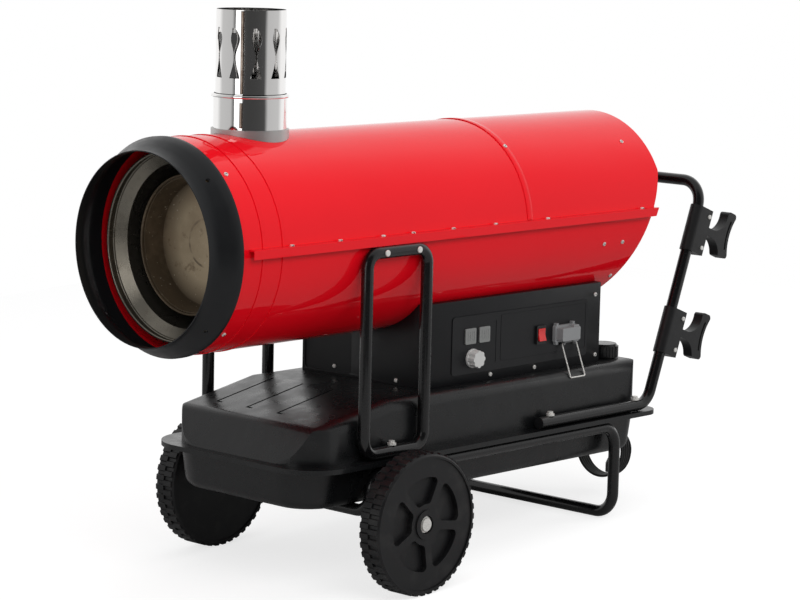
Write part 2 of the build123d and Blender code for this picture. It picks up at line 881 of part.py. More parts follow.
# ---- Fan and inlet --------------------------------------------------------------------------------
motor_edge = motor_r / 6
shaft_seat = motor_length / 2
with BuildPart() as fan_motor:
    add(
        turned(
            [
                (motor_front, 0),
                (motor_front, motor_r - motor_edge),
                (motor_front + motor_edge, motor_r),
                (motor_rear - motor_edge, motor_r),
                (motor_rear, motor_r - motor_edge),
                (motor_rear, shaft_r + gap),
                (motor_rear - shaft_seat - gap, shaft_r + gap),
                (motor_rear - shaft_seat - gap, 0),
            ]
        )
    )
keep(fan_motor, "fan_motor")

with BuildPart() as motor_bracket:
    ring_x = (motor_front + motor_rear) / 2
    ring_r = motor_r + gap
    add(
        turned(
            [
                (ring_x - bracket_width / 2, ring_r),
                (ring_x - bracket_width / 2, ring_r + bracket_wall),
                (ring_x + bracket_width / 2, ring_r + bracket_wall),
                (ring_x + bracket_width / 2, ring_r),
            ]
        )
    )
    arm = shell_r - sheet - gap - ring_r - bracket_wall / 2
    for angle in (30, 150, 270):
        stand = Location((ring_x, 0, 0), (angle, 0, 0)) * Location((0, 0, ring_r + bracket_wall / 2))
        with Locations(stand):
            Box(bracket_width, bracket_wall, arm, align=on_base)
keep(motor_bracket, "motor_bracket")

fan_front = fan_x - fan_width / 2
fan_rear = fan_x + fan_width / 2
hub_edge = fan_hub_r / 5
with BuildPart() as fan_impeller:
    add(
        turned(
            [
                (fan_front, shaft_r),
                (fan_front, fan_hub_r),
                (fan_rear - hub_edge, fan_hub_r),
                (fan_rear, fan_hub_r - hub_edge),
                (fan_rear, shaft_r),
            ]
        )
    )
    with BuildPart(mode=Mode.PRIVATE) as blade:
        for share, chord, lean in zip(blade_shares, blade_chords, blade_leans):
            radius = fan_hub_r - blade_wall + share * (fan_r - fan_hub_r + blade_wall)
            with BuildSketch(Plane(origin=(fan_x, 0, radius), x_dir=(1, 0, 0), z_dir=(0, 0, 1))):
                Rectangle(blade_wall, chord, rotation=-lean)
        loft(ruled=True)
    for turn in range(fan_blades):
        add(blade.part.rotate(Axis.X, turn * 360 / fan_blades))
keep(fan_impeller, "fan_impeller")

with BuildPart() as motor_shaft:
    with BuildSketch(Plane.YZ.offset(motor_rear - shaft_seat)):
        Circle(shaft_r)
    extrude(amount=shaft_seat + fan_clearance + fan_width + guard_clearance / 2)
keep(motor_shaft, "motor_shaft")

with BuildPart() as inlet_guard:
    guard_r = shell_r - sheet - gap
    ring_step = (guard_r - guard_wire / 2 - guard_eye_r) / (guard_rings - 1)
    for ring in range(guard_rings):
        mean_r = guard_eye_r + ring * ring_step
        with BuildSketch(Plane.YZ.offset(guard_x)):
            Circle(mean_r + guard_wire / 2)
            Circle(mean_r - guard_wire / 2, mode=Mode.SUBTRACT)
        extrude(amount=guard_wire)
    for turn in range(guard_spokes):
        stand = Location((guard_x + guard_wire, 0, 0), (turn * 360 / guard_spokes, 0, 0))
        with Locations(stand):
            Box(
                guard_wire,
                guard_wire,
                guard_r - guard_wire / 2,
                align=(Align.MIN, Align.CENTER, Align.MIN),
            )
keep(inlet_guard, "inlet_guard")

# ---- Control box ----------------------------------------------------------------------------------
box_length = box_rear - box_front
box_mid_x = (box_front + box_rear) / 2
saddle_r = shell_r + gap
hatch_y = (hatch_inner_y, box_half_w - hatch_margin)  # in the front wall, clear of the saddle
hatch_z = (tank_deck + 0.75 * hatch_margin, -saddle_r - 1.5 * hatch_margin)

with BuildPart() as control_box:
    with Locations((box_mid_x, 0, tank_deck)):
        Box(box_length, 2 * box_half_w, box_top - tank_deck, align=on_base)
    fillet(control_box.edges().filter_by(Axis.X).group_by(Axis.Z)[-1], box_edge_r)
    with Locations(Location((box_mid_x, 0, 0), (0, 90, 0))):
        Cylinder(saddle_r, 2 * box_length, mode=Mode.SUBTRACT)
    with BuildPart(mode=Mode.PRIVATE) as hollow:
        with Locations((box_mid_x, 0, tank_deck + box_wall)):
            Box(
                box_length - 2 * box_wall,
                2 * (box_half_w - box_wall),
                box_top - tank_deck - 2 * box_wall,
                align=on_base,
            )
        with Locations(Location((box_mid_x, 0, 0), (0, 90, 0))):
            Cylinder(saddle_r + box_wall, 2 * box_length, mode=Mode.SUBTRACT)
    add(hollow.part, mode=Mode.SUBTRACT)
    with BuildSketch(Plane.YZ.offset(box_front)):
        with Locations(((hatch_y[0] + hatch_y[1]) / 2, (hatch_z[0] + hatch_z[1]) / 2)):
            RectangleRounded(hatch_y[1] - hatch_y[0], hatch_z[1] - hatch_z[0], panel_corner)
    extrude(amount=box_wall, mode=Mode.SUBTRACT)
    with Locations(Location((box_rear, gland_y, gland_z), (0, 90, 0))):
        Cylinder(gland_r, 6 * box_wall, mode=Mode.SUBTRACT)
keep(control_box, "control_box")

with BuildPart() as access_plate:
    with BuildSketch(Plane.YZ.offset(box_front + box_wall)):
        with Locations(((hatch_y[0] + hatch_y[1]) / 2, (hatch_z[0] + hatch_z[1]) / 2 + gap)):
            RectangleRounded(
                hatch_y[1] - hatch_y[0] + 2 * hatch_lap,
                hatch_z[1] - hatch_z[0] + 2 * hatch_lap,
                panel_corner,
            )
    extrude(amount=box_wall)
keep(access_plate, "access_plate")

panel_mid_x = (panel_x0 + panel_x1) / 2
panel_mid_z = (panel_z0 + panel_z1) / 2
front = Plane(origin=(0, panel_y, 0), x_dir=(1, 0, 0), z_dir=(0, -1, 0))
frame_z = (panel_z0 + frame_margin[0], panel_z1 - frame_margin[1])
frame_r = 0.75 * panel_corner
with BuildPart() as control_panel:
    with BuildSketch(front.offset(-panel_thick)):
        with Locations((panel_mid_x, panel_mid_z)):
            RectangleRounded(panel_x1 - panel_x0, panel_z1 - panel_z0, panel_corner)
    extrude(amount=panel_thick)
    with BuildSketch(front):
        with Locations((groove_x, panel_mid_z)):
            SlotOverall(panel_height - 2 * frame_margin[0], groove_line, rotation=90)
        with Locations(((frame_x[0] + frame_x[1]) / 2, (frame_z[0] + frame_z[1]) / 2)):
            RectangleRounded(frame_x[1] - frame_x[0], frame_z[1] - frame_z[0], frame_r)
            RectangleRounded(
                frame_x[1] - frame_x[0] - 2 * frame_line,
                frame_z[1] - frame_z[0] - 2 * frame_line,
                frame_r - frame_line,
                mode=Mode.SUBTRACT,
            )
    extrude(amount=-panel_thick / 3, mode=Mode.SUBTRACT)
keep(control_panel, "control_panel")

segment_w, segment_h = digit_size
with BuildPart() as indicators:
    with BuildSketch(front):
        with Locations(*[(x, display_z) for x in display_x]):
            RectangleRounded(display_size, display_size, display_depth)
    extrude(amount=display_depth)
    with BuildSketch(front.offset(display_depth)):
        with Locations(*[(x, display_z) for x in display_x]):
            with GridLocations(1.4 * segment_w, 1, 2, 1):
                Rectangle(segment_w, segment_h)
                with GridLocations(1, (segment_h - digit_line) / 2, 1, 2):
                    Rectangle(
                        segment_w - 2 * digit_line,
                        (segment_h - 3 * digit_line) / 2,
                        mode=Mode.SUBTRACT,
                    )
    extrude(amount=-digit_line / 4, mode=Mode.SUBTRACT)
keep(indicators, "indicators")

with BuildPart() as thermostat_knob:
    with BuildSketch(front.offset(gap)):
        with Locations((knob_x, knob_z)):
            Circle(knob_r)
    extrude(amount=knob_skirt)
    with BuildSketch(front.offset(gap + knob_skirt)):
        with Locations((knob_x, knob_z)):
            Circle(0.95 * knob_r)
            with PolarLocations(1.12 * knob_r, knob_facets, 180 / knob_facets):
                Circle(0.28 * knob_r, mode=Mode.SUBTRACT)
    extrude(amount=knob_depth - knob_skirt, taper=3)
keep(thermostat_knob, "thermostat_knob")

rocker_w = switch_w - 2 * bezel_side
rocker_h = switch_h - 3 * bezel_side
with BuildPart() as switch_bezel:
    with BuildSketch(front):
        with Locations((switch_x, switch_z)):
            RectangleRounded(switch_w, switch_h, bezel_depth / 2)
            Rectangle(rocker_w, rocker_h, mode=Mode.SUBTRACT)
    extrude(amount=bezel_depth)
keep(switch_bezel, "switch_bezel")

# The rocker turns about an axis along the panel and rests with its upper end pressed in
pivot_y = panel_y - bezel_depth + rocker_inset
rocker_reach = rocker_h / 2 - 2 * gap
with BuildPart() as rocker_switch:
    with BuildSketch(Plane.YZ.offset(switch_x - rocker_w / 2 + gap)):
        with BuildLine():
            Polyline(
                (pivot_y, switch_z - rocker_reach + rocker_inset),
                (pivot_y - rocker_rise, switch_z - rocker_reach),
                (pivot_y - rocker_rise / 2, switch_z),
                (pivot_y - rocker_rise, switch_z + rocker_reach),
                (pivot_y, switch_z + rocker_reach - rocker_inset),
                (pivot_y + 1.6 * rocker_inset, switch_z),
                close=True,
            )
        make_face()
    extrude(amount=rocker_w - 2 * gap)
rocker_pin = Axis((switch_x, pivot_y, switch_z), (1, 0, 0))
keep(rocker_switch, "rocker_switch")
pieces["rocker_switch"] = rocker_switch.part.rotate(rocker_pin, -rocker_tilt)

with BuildPart() as thermostat_socket:
    with BuildSketch(front):
        with Locations((socket_x, socket_z)):
            RectangleRounded(socket_w, socket_h, socket_corner)
    extrude(amount=socket_depth)
    ear_out = (socket_w - ear_size[0]) / 2 - socket_corner
    for side, rise in ((-1, 1), (1, 1), (-1, -1)):
        ear_at = (socket_x + side * ear_out, panel_y - ear_size[1] / 2, socket_z + rise * socket_h / 2)
        with Locations(ear_at):
            Box(*ear_size)

plug_end_x = socket_x + (socket_w - plug_end) / 2 - plug_inset
with BuildPart() as connector_plug:
    with BuildSketch(front.offset(socket_depth)):
        with Locations((socket_x, socket_z)):
            RectangleRounded(socket_w - 2 * plug_inset, socket_h - 2 * plug_inset, socket_corner)
    extrude(amount=plug_reach - socket_depth)
    with BuildSketch(front.offset(socket_depth)):
        with Locations((plug_end_x, socket_z)):
            RectangleRounded(plug_end, socket_h, socket_corner)
    extrude(amount=plug_reach - socket_depth - plug_inset)
keep(connector_plug, "connector_plug")

# A wire bail hangs from two eyes under the socket and leans out over the tank's shoulder
bail_y = panel_y - bail_stand
bail_z = socket_z - socket_h / 2 - bail_stand
eye_x = (bail_x - bail_half_w, bail_x + bail_half_w)
with thermostat_socket:
    with BuildSketch(front):
        with Locations((bail_x, bail_z)):
            Rectangle(
                2 * bail_half_w + eye_width,
                2 * bail_stand,
                align=(Align.CENTER, Align.MIN),
            )
    extrude(amount=hinge_strip)
    for x in eye_x:
        with BuildSketch(Plane.YZ.offset(x - eye_width / 2)):
            with Locations((bail_y, bail_z)):
                Circle(eye_r)
                Rectangle(bail_stand, 2 * eye_r, align=(Align.MIN, Align.CENTER))
                Circle(bail_wire + gap, mode=Mode.SUBTRACT)
        extrude(amount=eye_width)
keep(thermostat_socket, "thermostat_socket")

bail_leg = eye_width / 2 + 2 * bail_wire
bail_path = FilletPolyline(
    (eye_x[0] + eye_width, bail_y, bail_z),
    (eye_x[0] - bail_leg, bail_y, bail_z),
    (eye_x[0] - bail_leg, bail_y, bail_z - bail_drop),
    (eye_x[1] + bail_leg, bail_y, bail_z - bail_drop),
    (eye_x[1] + bail_leg, bail_y, bail_z),
    (eye_x[1] - eye_width, bail_y, bail_z),
    radius=2 * bail_wire,
)
shoulder_y = -(tank_half_w - tank_shoulder_r)
shoulder_z = tank_deck - tank_shoulder_r
to_shoulder = hypot(shoulder_y - bail_y, shoulder_z - bail_z)
rest_r = tank_shoulder_r + bail_wire + gap
swing = acos((bail_drop**2 + to_shoulder**2 - rest_r**2) / (2 * bail_drop * to_shoulder))
bail_lean = degrees(swing + atan2(bail_y - shoulder_y, bail_z - shoulder_z))
bail_pin = Axis((bail_x, bail_y, bail_z), (1, 0, 0))
with BuildPart() as wire_bail:
    add(tube_along(bail_path, bail_wire, 0).rotate(bail_pin, -bail_lean))
keep(wire_bail, "wire_bail")

inner_y = -(box_half_w - box_wall)
parts_y = inner_y + board_size[1]
board_z = (panel_z0 + switch_z) / 2
with BuildPart() as control_board:
    with Locations((board_x, inner_y, board_z)):
        Box(*board_size, align=on_wall)
    with Locations((board_x - board_size[0] / 5, parts_y, board_z)):
        Box(*relay_size, align=on_wall)
    with Locations((board_x + board_size[0] / 4, parts_y, board_z)):
        Box(*choke_size, align=on_wall)
keep(control_board, "control_board")

with BuildPart() as ignition_transformer:
    with Locations((transformer_x, transformer_y, tank_deck + box_wall)):
        Box(*transformer_size, align=on_base)
    fillet(ignition_transformer.edges().filter_by(Axis.Z), panel_corner / 2)
keep(ignition_transformer, "ignition_transformer")

foot_screw_z = tank_deck + 11.0
side_screws = (
    (box_rear - 19.0, box_top - 26.0),
    (box_rear - 14.0, tank_deck + 17.0),
    (panel_x0 + 124.0, foot_screw_z),
    (panel_x0 + 267.0, foot_screw_z),
)
with BuildPart() as box_screws:
    for x, z in side_screws:
        with Locations(Plane(origin=(x, -box_half_w, z), z_dir=(0, -1, 0)).location):
            add(screw_head())
    blank_screw = (box_front, -(hatch_y[0] + hatch_y[1]) / 2, foot_screw_z)
    hatch_screw = (box_front + box_wall, hatch_y[1] - 86.0, hatch_z[0] + 12.0)
    for spot in (blank_screw, hatch_screw):
        with Locations(Plane(origin=spot, z_dir=(-1, 0, 0)).location):
            add(screw_head())
keep(box_screws, "box_screws")

# ---- Fuel tank ------------------------------------------------------------------------------------
def tank_plan(inset, over=0.0, rear_over=0.0):
    """Rounded plan of the tank, larger corners in front."""
    x0 = tank_front - over + inset
    x1 = tank_rear + rear_over - inset
    half_w = (flange_half_w if over else tank_half_w) - inset
    with BuildSketch() as plan:
        with Locations(((x0 + x1) / 2, 0)):
            Rectangle(x1 - x0, 2 * half_w)
        fillet(plan.vertices().group_by(Axis.X)[0], tank_corner_r - inset)
        fillet(plan.vertices().group_by(Axis.X)[-1], rear_corner_r - inset)
    return plan.sketch


def tank_body(inset):
    """The two moulded halves without the flange, drawn in by an inset for the cavity."""
    half_w = tank_half_w - inset
    rise = (ramp_end - tank_front - front_lean) * tan(radians(ramp_angle))
    with BuildPart() as body:
        with BuildSketch(Plane.XZ.offset(-half_w)):
            with BuildLine():
                Polyline(
                    (tank_front + inset, flange_top - flange_thick / 2),
                    (tank_front + inset, flange_top),
                    (tank_front + front_lean + inset, tank_deck - rise - inset),
                    (ramp_end + inset / 4, tank_deck - inset),
                    (tank_rear - inset, tank_deck - inset),
                    (tank_rear - inset, flange_top - flange_thick / 2),
                    close=True,
                )
            make_face()
        extrude(amount=2 * half_w)
        top_edges = body.faces().filter_by(lambda f: f.normal_at().Z > 0.5).edges()
        fillet(top_edges.filter_by(Axis.Y).group_by(Axis.X)[0], ramp_crest_r - inset)
        shoulder = body.faces().filter_by(lambda f: f.normal_at().Z > 0.9).edges()
        shoulder = shoulder.filter_by(lambda e: e.center().Z > flange_top + 2 * flange_thick)
        rims = [e for e in shoulder if abs(e.center().Y) > half_w - 1 or e.center().X > tank_rear - inset - 1]
        fillet(rims, tank_shoulder_r - inset)
        with BuildPart(mode=Mode.PRIVATE) as plan:
            with BuildSketch(Plane.XY.offset(flange_top - flange_thick)):
                add(tank_plan(inset))
            extrude(amount=tank_deck - flange_top + 2 * flange_thick)
        add(plan.part, mode=Mode.INTERSECT)
        with BuildPart(mode=Mode.PRIVATE) as lower:
            with BuildSketch(Plane.XY.offset(flange_top - flange_thick / 2)):
                add(tank_plan(inset))
            extrude(amount=-(flange_top - flange_thick / 2 - tank_bottom - inset), taper=lower_draft)
            fillet(lower.edges().group_by(Axis.Z)[0], bottom_r - inset)
        add(lower.part)
    return body.part


with BuildPart() as fuel_tank:
    add(tank_body(0))
    with BuildSketch(Plane.XY.offset(flange_top)):
        add(tank_plan(0, flange_over, flange_over_rear))
    extrude(amount=-flange_thick)
    with Locations((cap_x, cap_y, tank_deck)):
        Cylinder(neck_r, neck_height, align=on_base)
    add(tank_body(tank_wall), mode=Mode.SUBTRACT)
    with Locations((cap_x, cap_y, tank_deck + neck_height)):
        Cylinder(neck_r - tank_wall, 4 * neck_height, mode=Mode.SUBTRACT)
    ramp = radians(ramp_angle)
    ramp_plane = Plane(
        origin=(ramp_end, 0, tank_deck),
        x_dir=(cos(ramp), 0, sin(ramp)),
        z_dir=(-sin(ramp), 0, cos(ramp)),
    )
    groove_run = (ramp_end - groove_start) / cos(ramp)
    with BuildSketch(ramp_plane):
        for y in groove_y:
            with Locations((0, y)):
                Rectangle(groove_run, groove_width, align=(Align.MAX, Align.CENTER))
            with Locations((-groove_run, y + groove_width / 2)):
                Rectangle(groove_width, groove_leg, align=(Align.CENTER, Align.MAX))
    extrude(amount=-groove_depth, mode=Mode.SUBTRACT)
keep(fuel_tank, "fuel_tank")

with BuildPart() as fuel_cap:
    with BuildSketch(Plane.XY.offset(tank_deck + cap_seat)):
        with Locations((cap_x, cap_y)):
            Circle(cap_r)
            with PolarLocations(cap_r, cap_ribs):
                SlotOverall(2 * cap_rib, cap_rib, mode=Mode.SUBTRACT)
    extrude(amount=cap_height - cap_crown)
    with Locations((cap_x, cap_y, tank_deck + cap_seat + cap_height - cap_crown)):
        Cone(cap_r - cap_crown / 2, cap_r - cap_crown, cap_crown, align=on_base)
    with Locations((cap_x, cap_y, tank_deck)):
        Cylinder(neck_r + gap, neck_height + gap, align=on_base, mode=Mode.SUBTRACT)
keep(fuel_cap, "fuel_cap")

drain_x = tank_rear - drain_inset
with BuildPart() as drain_plug:
    with Locations((drain_x, 0, tank_bottom)):
        Cylinder(drain_r, drain_flange, align=under)
    with BuildSketch(Plane.XY.offset(tank_bottom - drain_flange)):
        with Locations((drain_x, 0)):
            RegularPolygon(0.75 * drain_r, 6)
    extrude(amount=-drain_r / 2)
keep(drain_plug, "drain_plug")

# ---- Barrow ---------------------------------------------------------------------------------------
frame_half = FilletPolyline(
    (leg_x, 0, foot_z),
    (leg_x, hoop_y, foot_z),
    (leg_x, hoop_y, rail_z),
    (frame_front_x, hoop_y, rail_z),
    (frame_front_x, hoop_y, cross_z),
    (frame_front_x, 0, cross_z),
    radius=[bend_r, bend_r, front_bend_r, front_bend_r],
)
with BuildPart() as base_frame:
    add(tube_along(frame_half))
    mirror(about=Plane.XZ)
keep(base_frame, "base_frame")

hoop_mid_x = (hoop_x0 + hoop_x1) / 2
hoop_half = FilletPolyline(
    (hoop_mid_x, hoop_y, hoop_top_z),
    (hoop_x1, hoop_y, hoop_top_z),
    (hoop_x1, hoop_y, rail_top_z),
    (hoop_mid_x, hoop_y, rail_top_z),
    radius=hoop_bend_r,
)
with BuildPart() as hoop_far:
    add(tube_along(hoop_half))
    mirror(about=Plane.YZ.offset(hoop_mid_x))
keep(hoop_far, "hoop_right")
with BuildPart() as hoop_near:
    add(mirror(hoop_far.part, about=Plane.XZ))
keep(hoop_near, "hoop_left")

lean = radians(handle_lean)
handle_top_x = handle_foot_x + (handle_top_z - rail_top_z) * tan(lean)
handle_half = FilletPolyline(
    (handle_end_x, hoop_y, rail_top_z),
    (handle_foot_x, hoop_y, rail_top_z),
    (handle_top_x, hoop_y, handle_top_z),
    (handle_top_x, 0, handle_top_z),
    radius=[bend_r, handle_bend_r],
)
with BuildPart() as handle_frame:
    add(tube_along(handle_half))
    mirror(about=Plane.XZ)
keep(handle_frame, "handle_frame")

with BuildPart() as end_plugs:
    for side in (-1, 1):
        with Locations(Location((handle_end_x, side * hoop_y, rail_top_z), (0, -90, 0))):
            Cylinder(tube_r, end_plug_cap, align=on_base)
            Cylinder(tube_r - tube_wall - gap, end_plug_length, align=under)
keep(end_plugs, "end_plugs")

# Cable hooks clipped round one post: sleeve with a screwed flange, flaring arm and hollow head
post_up = Vector(sin(lean), 0, cos(lean))
post_back = Vector(cos(lean), 0, -sin(lean))
sleeve_half = tube_r + hook_sleeve
hook_bolts = [(hook_flange - hook_screw_inset, end * hook_screw_pitch / 2) for end in (-1, 1)]


def hook_outline():
    """Arm and head in the plane of the posts: x away from the post, y along it."""
    low = hook_arm_rise - hook_arm / 2
    high = hook_arm_rise + hook_arm / 2
    foot = hook_head_rise - hook_length / 2
    crown = hook_head_rise + hook_length / 2
    inner = hook_reach - hook_horn
    with BuildSketch() as outline:
        with BuildLine():
            Line((hook_flange - 1, high), (hook_flange - 1, low))
            Line((hook_flange - 1, low), (hook_neck, low))
            TangentArc((hook_neck, low), (inner, foot), tangent=(1, 0))
            Line((inner, foot), (hook_reach, foot))
            ThreePointArc((hook_reach, foot), (hook_reach - hook_hollow, hook_head_rise), (hook_reach, crown))
            Line((hook_reach, crown), (inner, crown))
            TangentArc((hook_neck, high), (inner, crown), tangent=(1, 0))
            Line((hook_neck, high), (hook_flange - 1, high))
        make_face()
        horns = [v for v in outline.vertices() if v.X > inner - 1]
        fillet(horns, hook_corner)
    return outline.sketch


def hook_slot_outline():
    """Slot in the head, following its hollow edge."""
    edge_r = ((hook_length / 2) ** 2 + hook_hollow**2) / (2 * hook_hollow)
    half_turn = degrees(asin(hook_slot_share * hook_length / 2 / edge_r))
    centre = (hook_reach - hook_hollow + edge_r, hook_head_rise)
    slot_r = edge_r + 2 * hook_slot
    with BuildSketch() as outline:
        with BuildLine(mode=Mode.PRIVATE) as middle:
            CenterArc(centre, slot_r, 180 - half_turn, 2 * half_turn)
        SlotArc(middle.edges()[0], hook_slot)
    return outline.sketch


def cable_hook(height):
    """One hook and the plane it is drawn in."""
    along = height - rail_top_z
    origin = Vector(handle_foot_x + along * tan(lean), -hoop_y, height)
    flat = Plane(origin=origin, x_dir=post_back, z_dir=(0, -1, 0))
    across = Plane(origin=origin - post_up * (hook_length / 2), x_dir=post_back, z_dir=post_up)
    with BuildPart() as hook:
        with BuildSketch(across):
            Circle(sleeve_half)
            Rectangle(hook_flange, 2 * sleeve_half, align=(Align.MIN, Align.CENTER))
            Circle(tube_r + gap, mode=Mode.SUBTRACT)
        extrude(amount=hook_length)
        with BuildSketch(flat):
            add(hook_outline())
        extrude(amount=hook_width / 2, both=True)
        with BuildSketch(flat):
            add(hook_slot_outline())
            with Locations(*hook_bolts):
                Circle(hook_screw_r + gap)
        extrude(amount=sleeve_half, both=True, mode=Mode.SUBTRACT)
    return hook, flat


cable_hook_upper, upper_flat = cable_hook(hook_heights[0])
keep(cable_hook_upper, "cable_hook_upper")
cable_hook_lower, lower_flat = cable_hook(hook_heights[1])
keep(cable_hook_lower, "cable_hook_lower")

with BuildPart() as hook_screws:
    for flat in (upper_flat, lower_flat):
        with BuildSketch(flat.offset(sleeve_half + gap)):
            with Locations(*hook_bolts):
                Circle(hook_screw_r)
        extrude(amount=-(2 * sleeve_half + hook_screw_tail))
        for x, y in hook_bolts:
            with Locations(flat.offset(sleeve_half) * Location((x, y, 0))):
                add(screw_head(2 * hook_screw_r))
keep(hook_screws, "hook_screws")

# Axle, its plates under the rails, and the wheels
with BuildPart() as axle_plates:
    for side in (-1, 1):
        with BuildSketch(Plane.XZ.offset(-side * hoop_y)):
            with BuildLine():
                plate_top = rail_z - tube_r
                Polyline(
                    (axle_x - plate_half, plate_top),
                    (axle_x + plate_half, plate_top),
                    (axle_x + plate_half, plate_top - plate_neck),
                    (axle_x + plate_bottom_r, axle_z),
                    (axle_x - plate_bottom_r, axle_z),
                    (axle_x - plate_half, plate_top - plate_neck),
                    close=True,
                )
            make_face()
            with Locations((axle_x, axle_z)):
                Circle(plate_bottom_r)
                Circle(axle_r + gap, mode=Mode.SUBTRACT)
        extrude(amount=axle_plate / 2, both=True)
keep(axle_plates, "axle_plates")

nut_y = wheel_outer_y - hub_counter + gap
axle_half = nut_y + nut_washer + nut_grip
with BuildPart() as axle:
    with BuildSketch(Plane.XZ.offset(-axle_half)):
        with Locations((axle_x, axle_z)):
            Circle(axle_r)
    extrude(amount=2 * axle_half)
keep(axle, "axle")

with BuildPart() as axle_spacers:
    for side in (-1, 1):
        with Locations(Location((axle_x, side * plate_face, axle_z), (-side * 90, 0, 0))):
            Cylinder(axle_r + spacer_wall, spacer_length, align=on_base)
            Cylinder(axle_r + gap / 3, spacer_length, align=on_base, mode=Mode.SUBTRACT)
keep(axle_spacers, "axle_spacers")


with BuildSketch() as pocket_outline:
    Circle(pocket_r1)
    Circle(pocket_r0, mode=Mode.SUBTRACT)
    half = radians(180 / wheel_pockets)
    reach = 2 * wheel_r
    with BuildLine():
        start = pocket_web / 2 / sin(half)
        Polyline(
            (start, 0),
            (start + reach * cos(half), reach * sin(half)),
            (start + reach * cos(half), -reach * sin(half)),
            close=True,
        )
    make_face(mode=Mode.INTERSECT)
    fillet(pocket_outline.vertices(), pocket_corner)


def wheel(name, side):
    """A moulded wheel: staggered tread lugs, dished face with five pockets, bored hub."""
    face_y = side * wheel_outer_y
    face = Plane(origin=(axle_x, face_y, axle_z), x_dir=(1, 0, 0), z_dir=(0, side, 0))
    core_r = wheel_r - tread_depth
    with BuildPart() as body:
        with BuildSketch(face.offset(-wheel_width)):
            Circle(core_r)
        extrude(amount=wheel_width)
        chamfer(body.edges().filter_by(GeomType.CIRCLE), tread_depth)
        lug_pitch = 360 / tread_lugs
        row_width = (wheel_width - 2 * tread_depth) / 2
        lug_shape = (
            (0, core_r),
            (lug_flank, wheel_r),
            (lug_flank + lug_top, wheel_r),
            (2 * lug_flank + lug_top, core_r),
        )
        for row in (0, 1):
            with BuildSketch(face.offset(-wheel_width + tread_depth + row * row_width)):
                with BuildLine():
                    points = []
                    for lug in range(tread_lugs):
                        for share, radius in lug_shape:
                            angle = radians((lug + row / 2 + share) * lug_pitch)
                            points.append((radius * cos(angle), radius * sin(angle)))
                    Polyline(*points, close=True)
                make_face()
            extrude(amount=row_width)
        for outward in (0, 1):
            at = face if outward else face.offset(-wheel_width)
            with BuildSketch(at):
                Circle(wheel_dish_r)
                Circle(wheel_hub_r, mode=Mode.SUBTRACT)
            extrude(amount=-wheel_dish if outward else wheel_dish, mode=Mode.SUBTRACT)
        with BuildSketch(face.offset(-wheel_dish)):
            for pocket in range(wheel_pockets):
                turn = pocket_turn + pocket * 360 / wheel_pockets
                with Locations(Location((0, 0, 0), (0, 0, turn))):
                    add(pocket_outline.sketch)
        extrude(amount=-pocket_depth, mode=Mode.SUBTRACT)
        with BuildSketch(face):
            Circle(axle_r + gap)
        extrude(amount=-wheel_width, mode=Mode.SUBTRACT)
        with BuildSketch(face):
            Circle(hub_counter_r)
        extrude(amount=-hub_counter, mode=Mode.SUBTRACT)
    keep(body, name)


wheel("wheel_left", -1)
wheel("wheel_right", 1)

with BuildPart() as hub_nuts:
    for side in (-1, 1):
        with Locations(Location((axle_x, side * nut_y, axle_z), (-side * 90, 0, 0))):
            Cylinder(nut_washer_r, nut_washer, align=on_base)
            Cylinder(nut_r, nut_height, align=on_base)
            Cylinder(axle_r + gap / 3, nut_washer + nut_grip + gap / 3, align=on_base, mode=Mode.SUBTRACT)
keep(hub_nuts, "hub_nuts")

# ---- Frame fixings --------------------------------------------------------------------------------
with BuildPart() as frame_bolts:
    for side in (-1, 1):
        for x in (hoop_bolt_x, *rail_bolt_x):
            with Locations((x, side * hoop_y, rail_top_z + tube_r)):
                Cylinder(frame_washer_r, frame_washer, align=on_base)
                Cylinder(frame_nut_r, frame_nut_height, align=on_base)
        for x in top_bolt_x:
            spot = Location((x, side * (hoop_y + tube_r), hoop_top_z), (-side * 90, 0, 0))
            with Locations(spot):
                add(screw_head(hoop_screw_r))
keep(frame_bolts, "frame_bolts")

# ---- Mains lead -------------------------------------------------------------------------------------
with BuildPart() as cord_gland:
    with BuildSketch(Plane.YZ.offset(box_rear)):
        with Locations((gland_y, gland_z)):
            RegularPolygon(gland_nut_r, 6)
    extrude(amount=gland_nut)
    with Locations(Location((box_rear + gland_nut, gland_y, gland_z), (0, 90, 0))):
        Cone(gland_r + box_wall, cord_r + tie_wall, gland_length - gland_nut, align=on_base)
    with Locations(Location((box_rear, gland_y, gland_z), (0, 90, 0))):
        Cylinder(gland_r - gap, gland_r, align=under)
keep(cord_gland, "cord_gland")

# The lead leaves the gland, drops behind the tank and ends where the coil's first turn begins
coil_side = coil_y + coil_r
lead_points = (
    (box_rear + gland_length, gland_y, gland_z),
    (coil_x - 91.0, gland_y, gland_z),
    (coil_x - 49.0, gland_y + 3.0, gland_z - 14.0),
    (coil_x - 19.0, gland_y + 9.0, gland_z - 47.0),
    (coil_x - 4.0, coil_side - 10.0, gland_z - 91.0),
    (coil_x + 2.0, coil_side - 6.0, gland_z - 139.0),
    (coil_x + 3.0, coil_side - 2.0, gland_z - 187.0),
    (coil_x, coil_side, gland_z - 229.0),
    (coil_x, coil_side, coil_z),
)


def lead_radii(points):
    """Each bend as large as its two runs allow, and the turn at each point."""
    radii = []
    for before, here, after in zip(points, points[1:], points[2:]):
        run_in = Vector(*here) - Vector(*before)
        run_out = Vector(*after) - Vector(*here)
        turn = run_in.get_angle(run_out)
        radii.append(0.45 * min(run_in.length, run_out.length) / tan(radians(turn) / 2))
    return radii


bends = lead_radii(lead_points)
print("lead bends", [round(r) for r in bends])
lead_path = FilletPolyline(*lead_points, radius=bends)
with BuildPart() as power_cord:
    add(tube_along(lead_path, cord_r, 0))
print("lead volume share", round(power_cord.part.volume / (pi * cord_r**2 * lead_path.length), 3))
keep(power_cord, "power_cord")

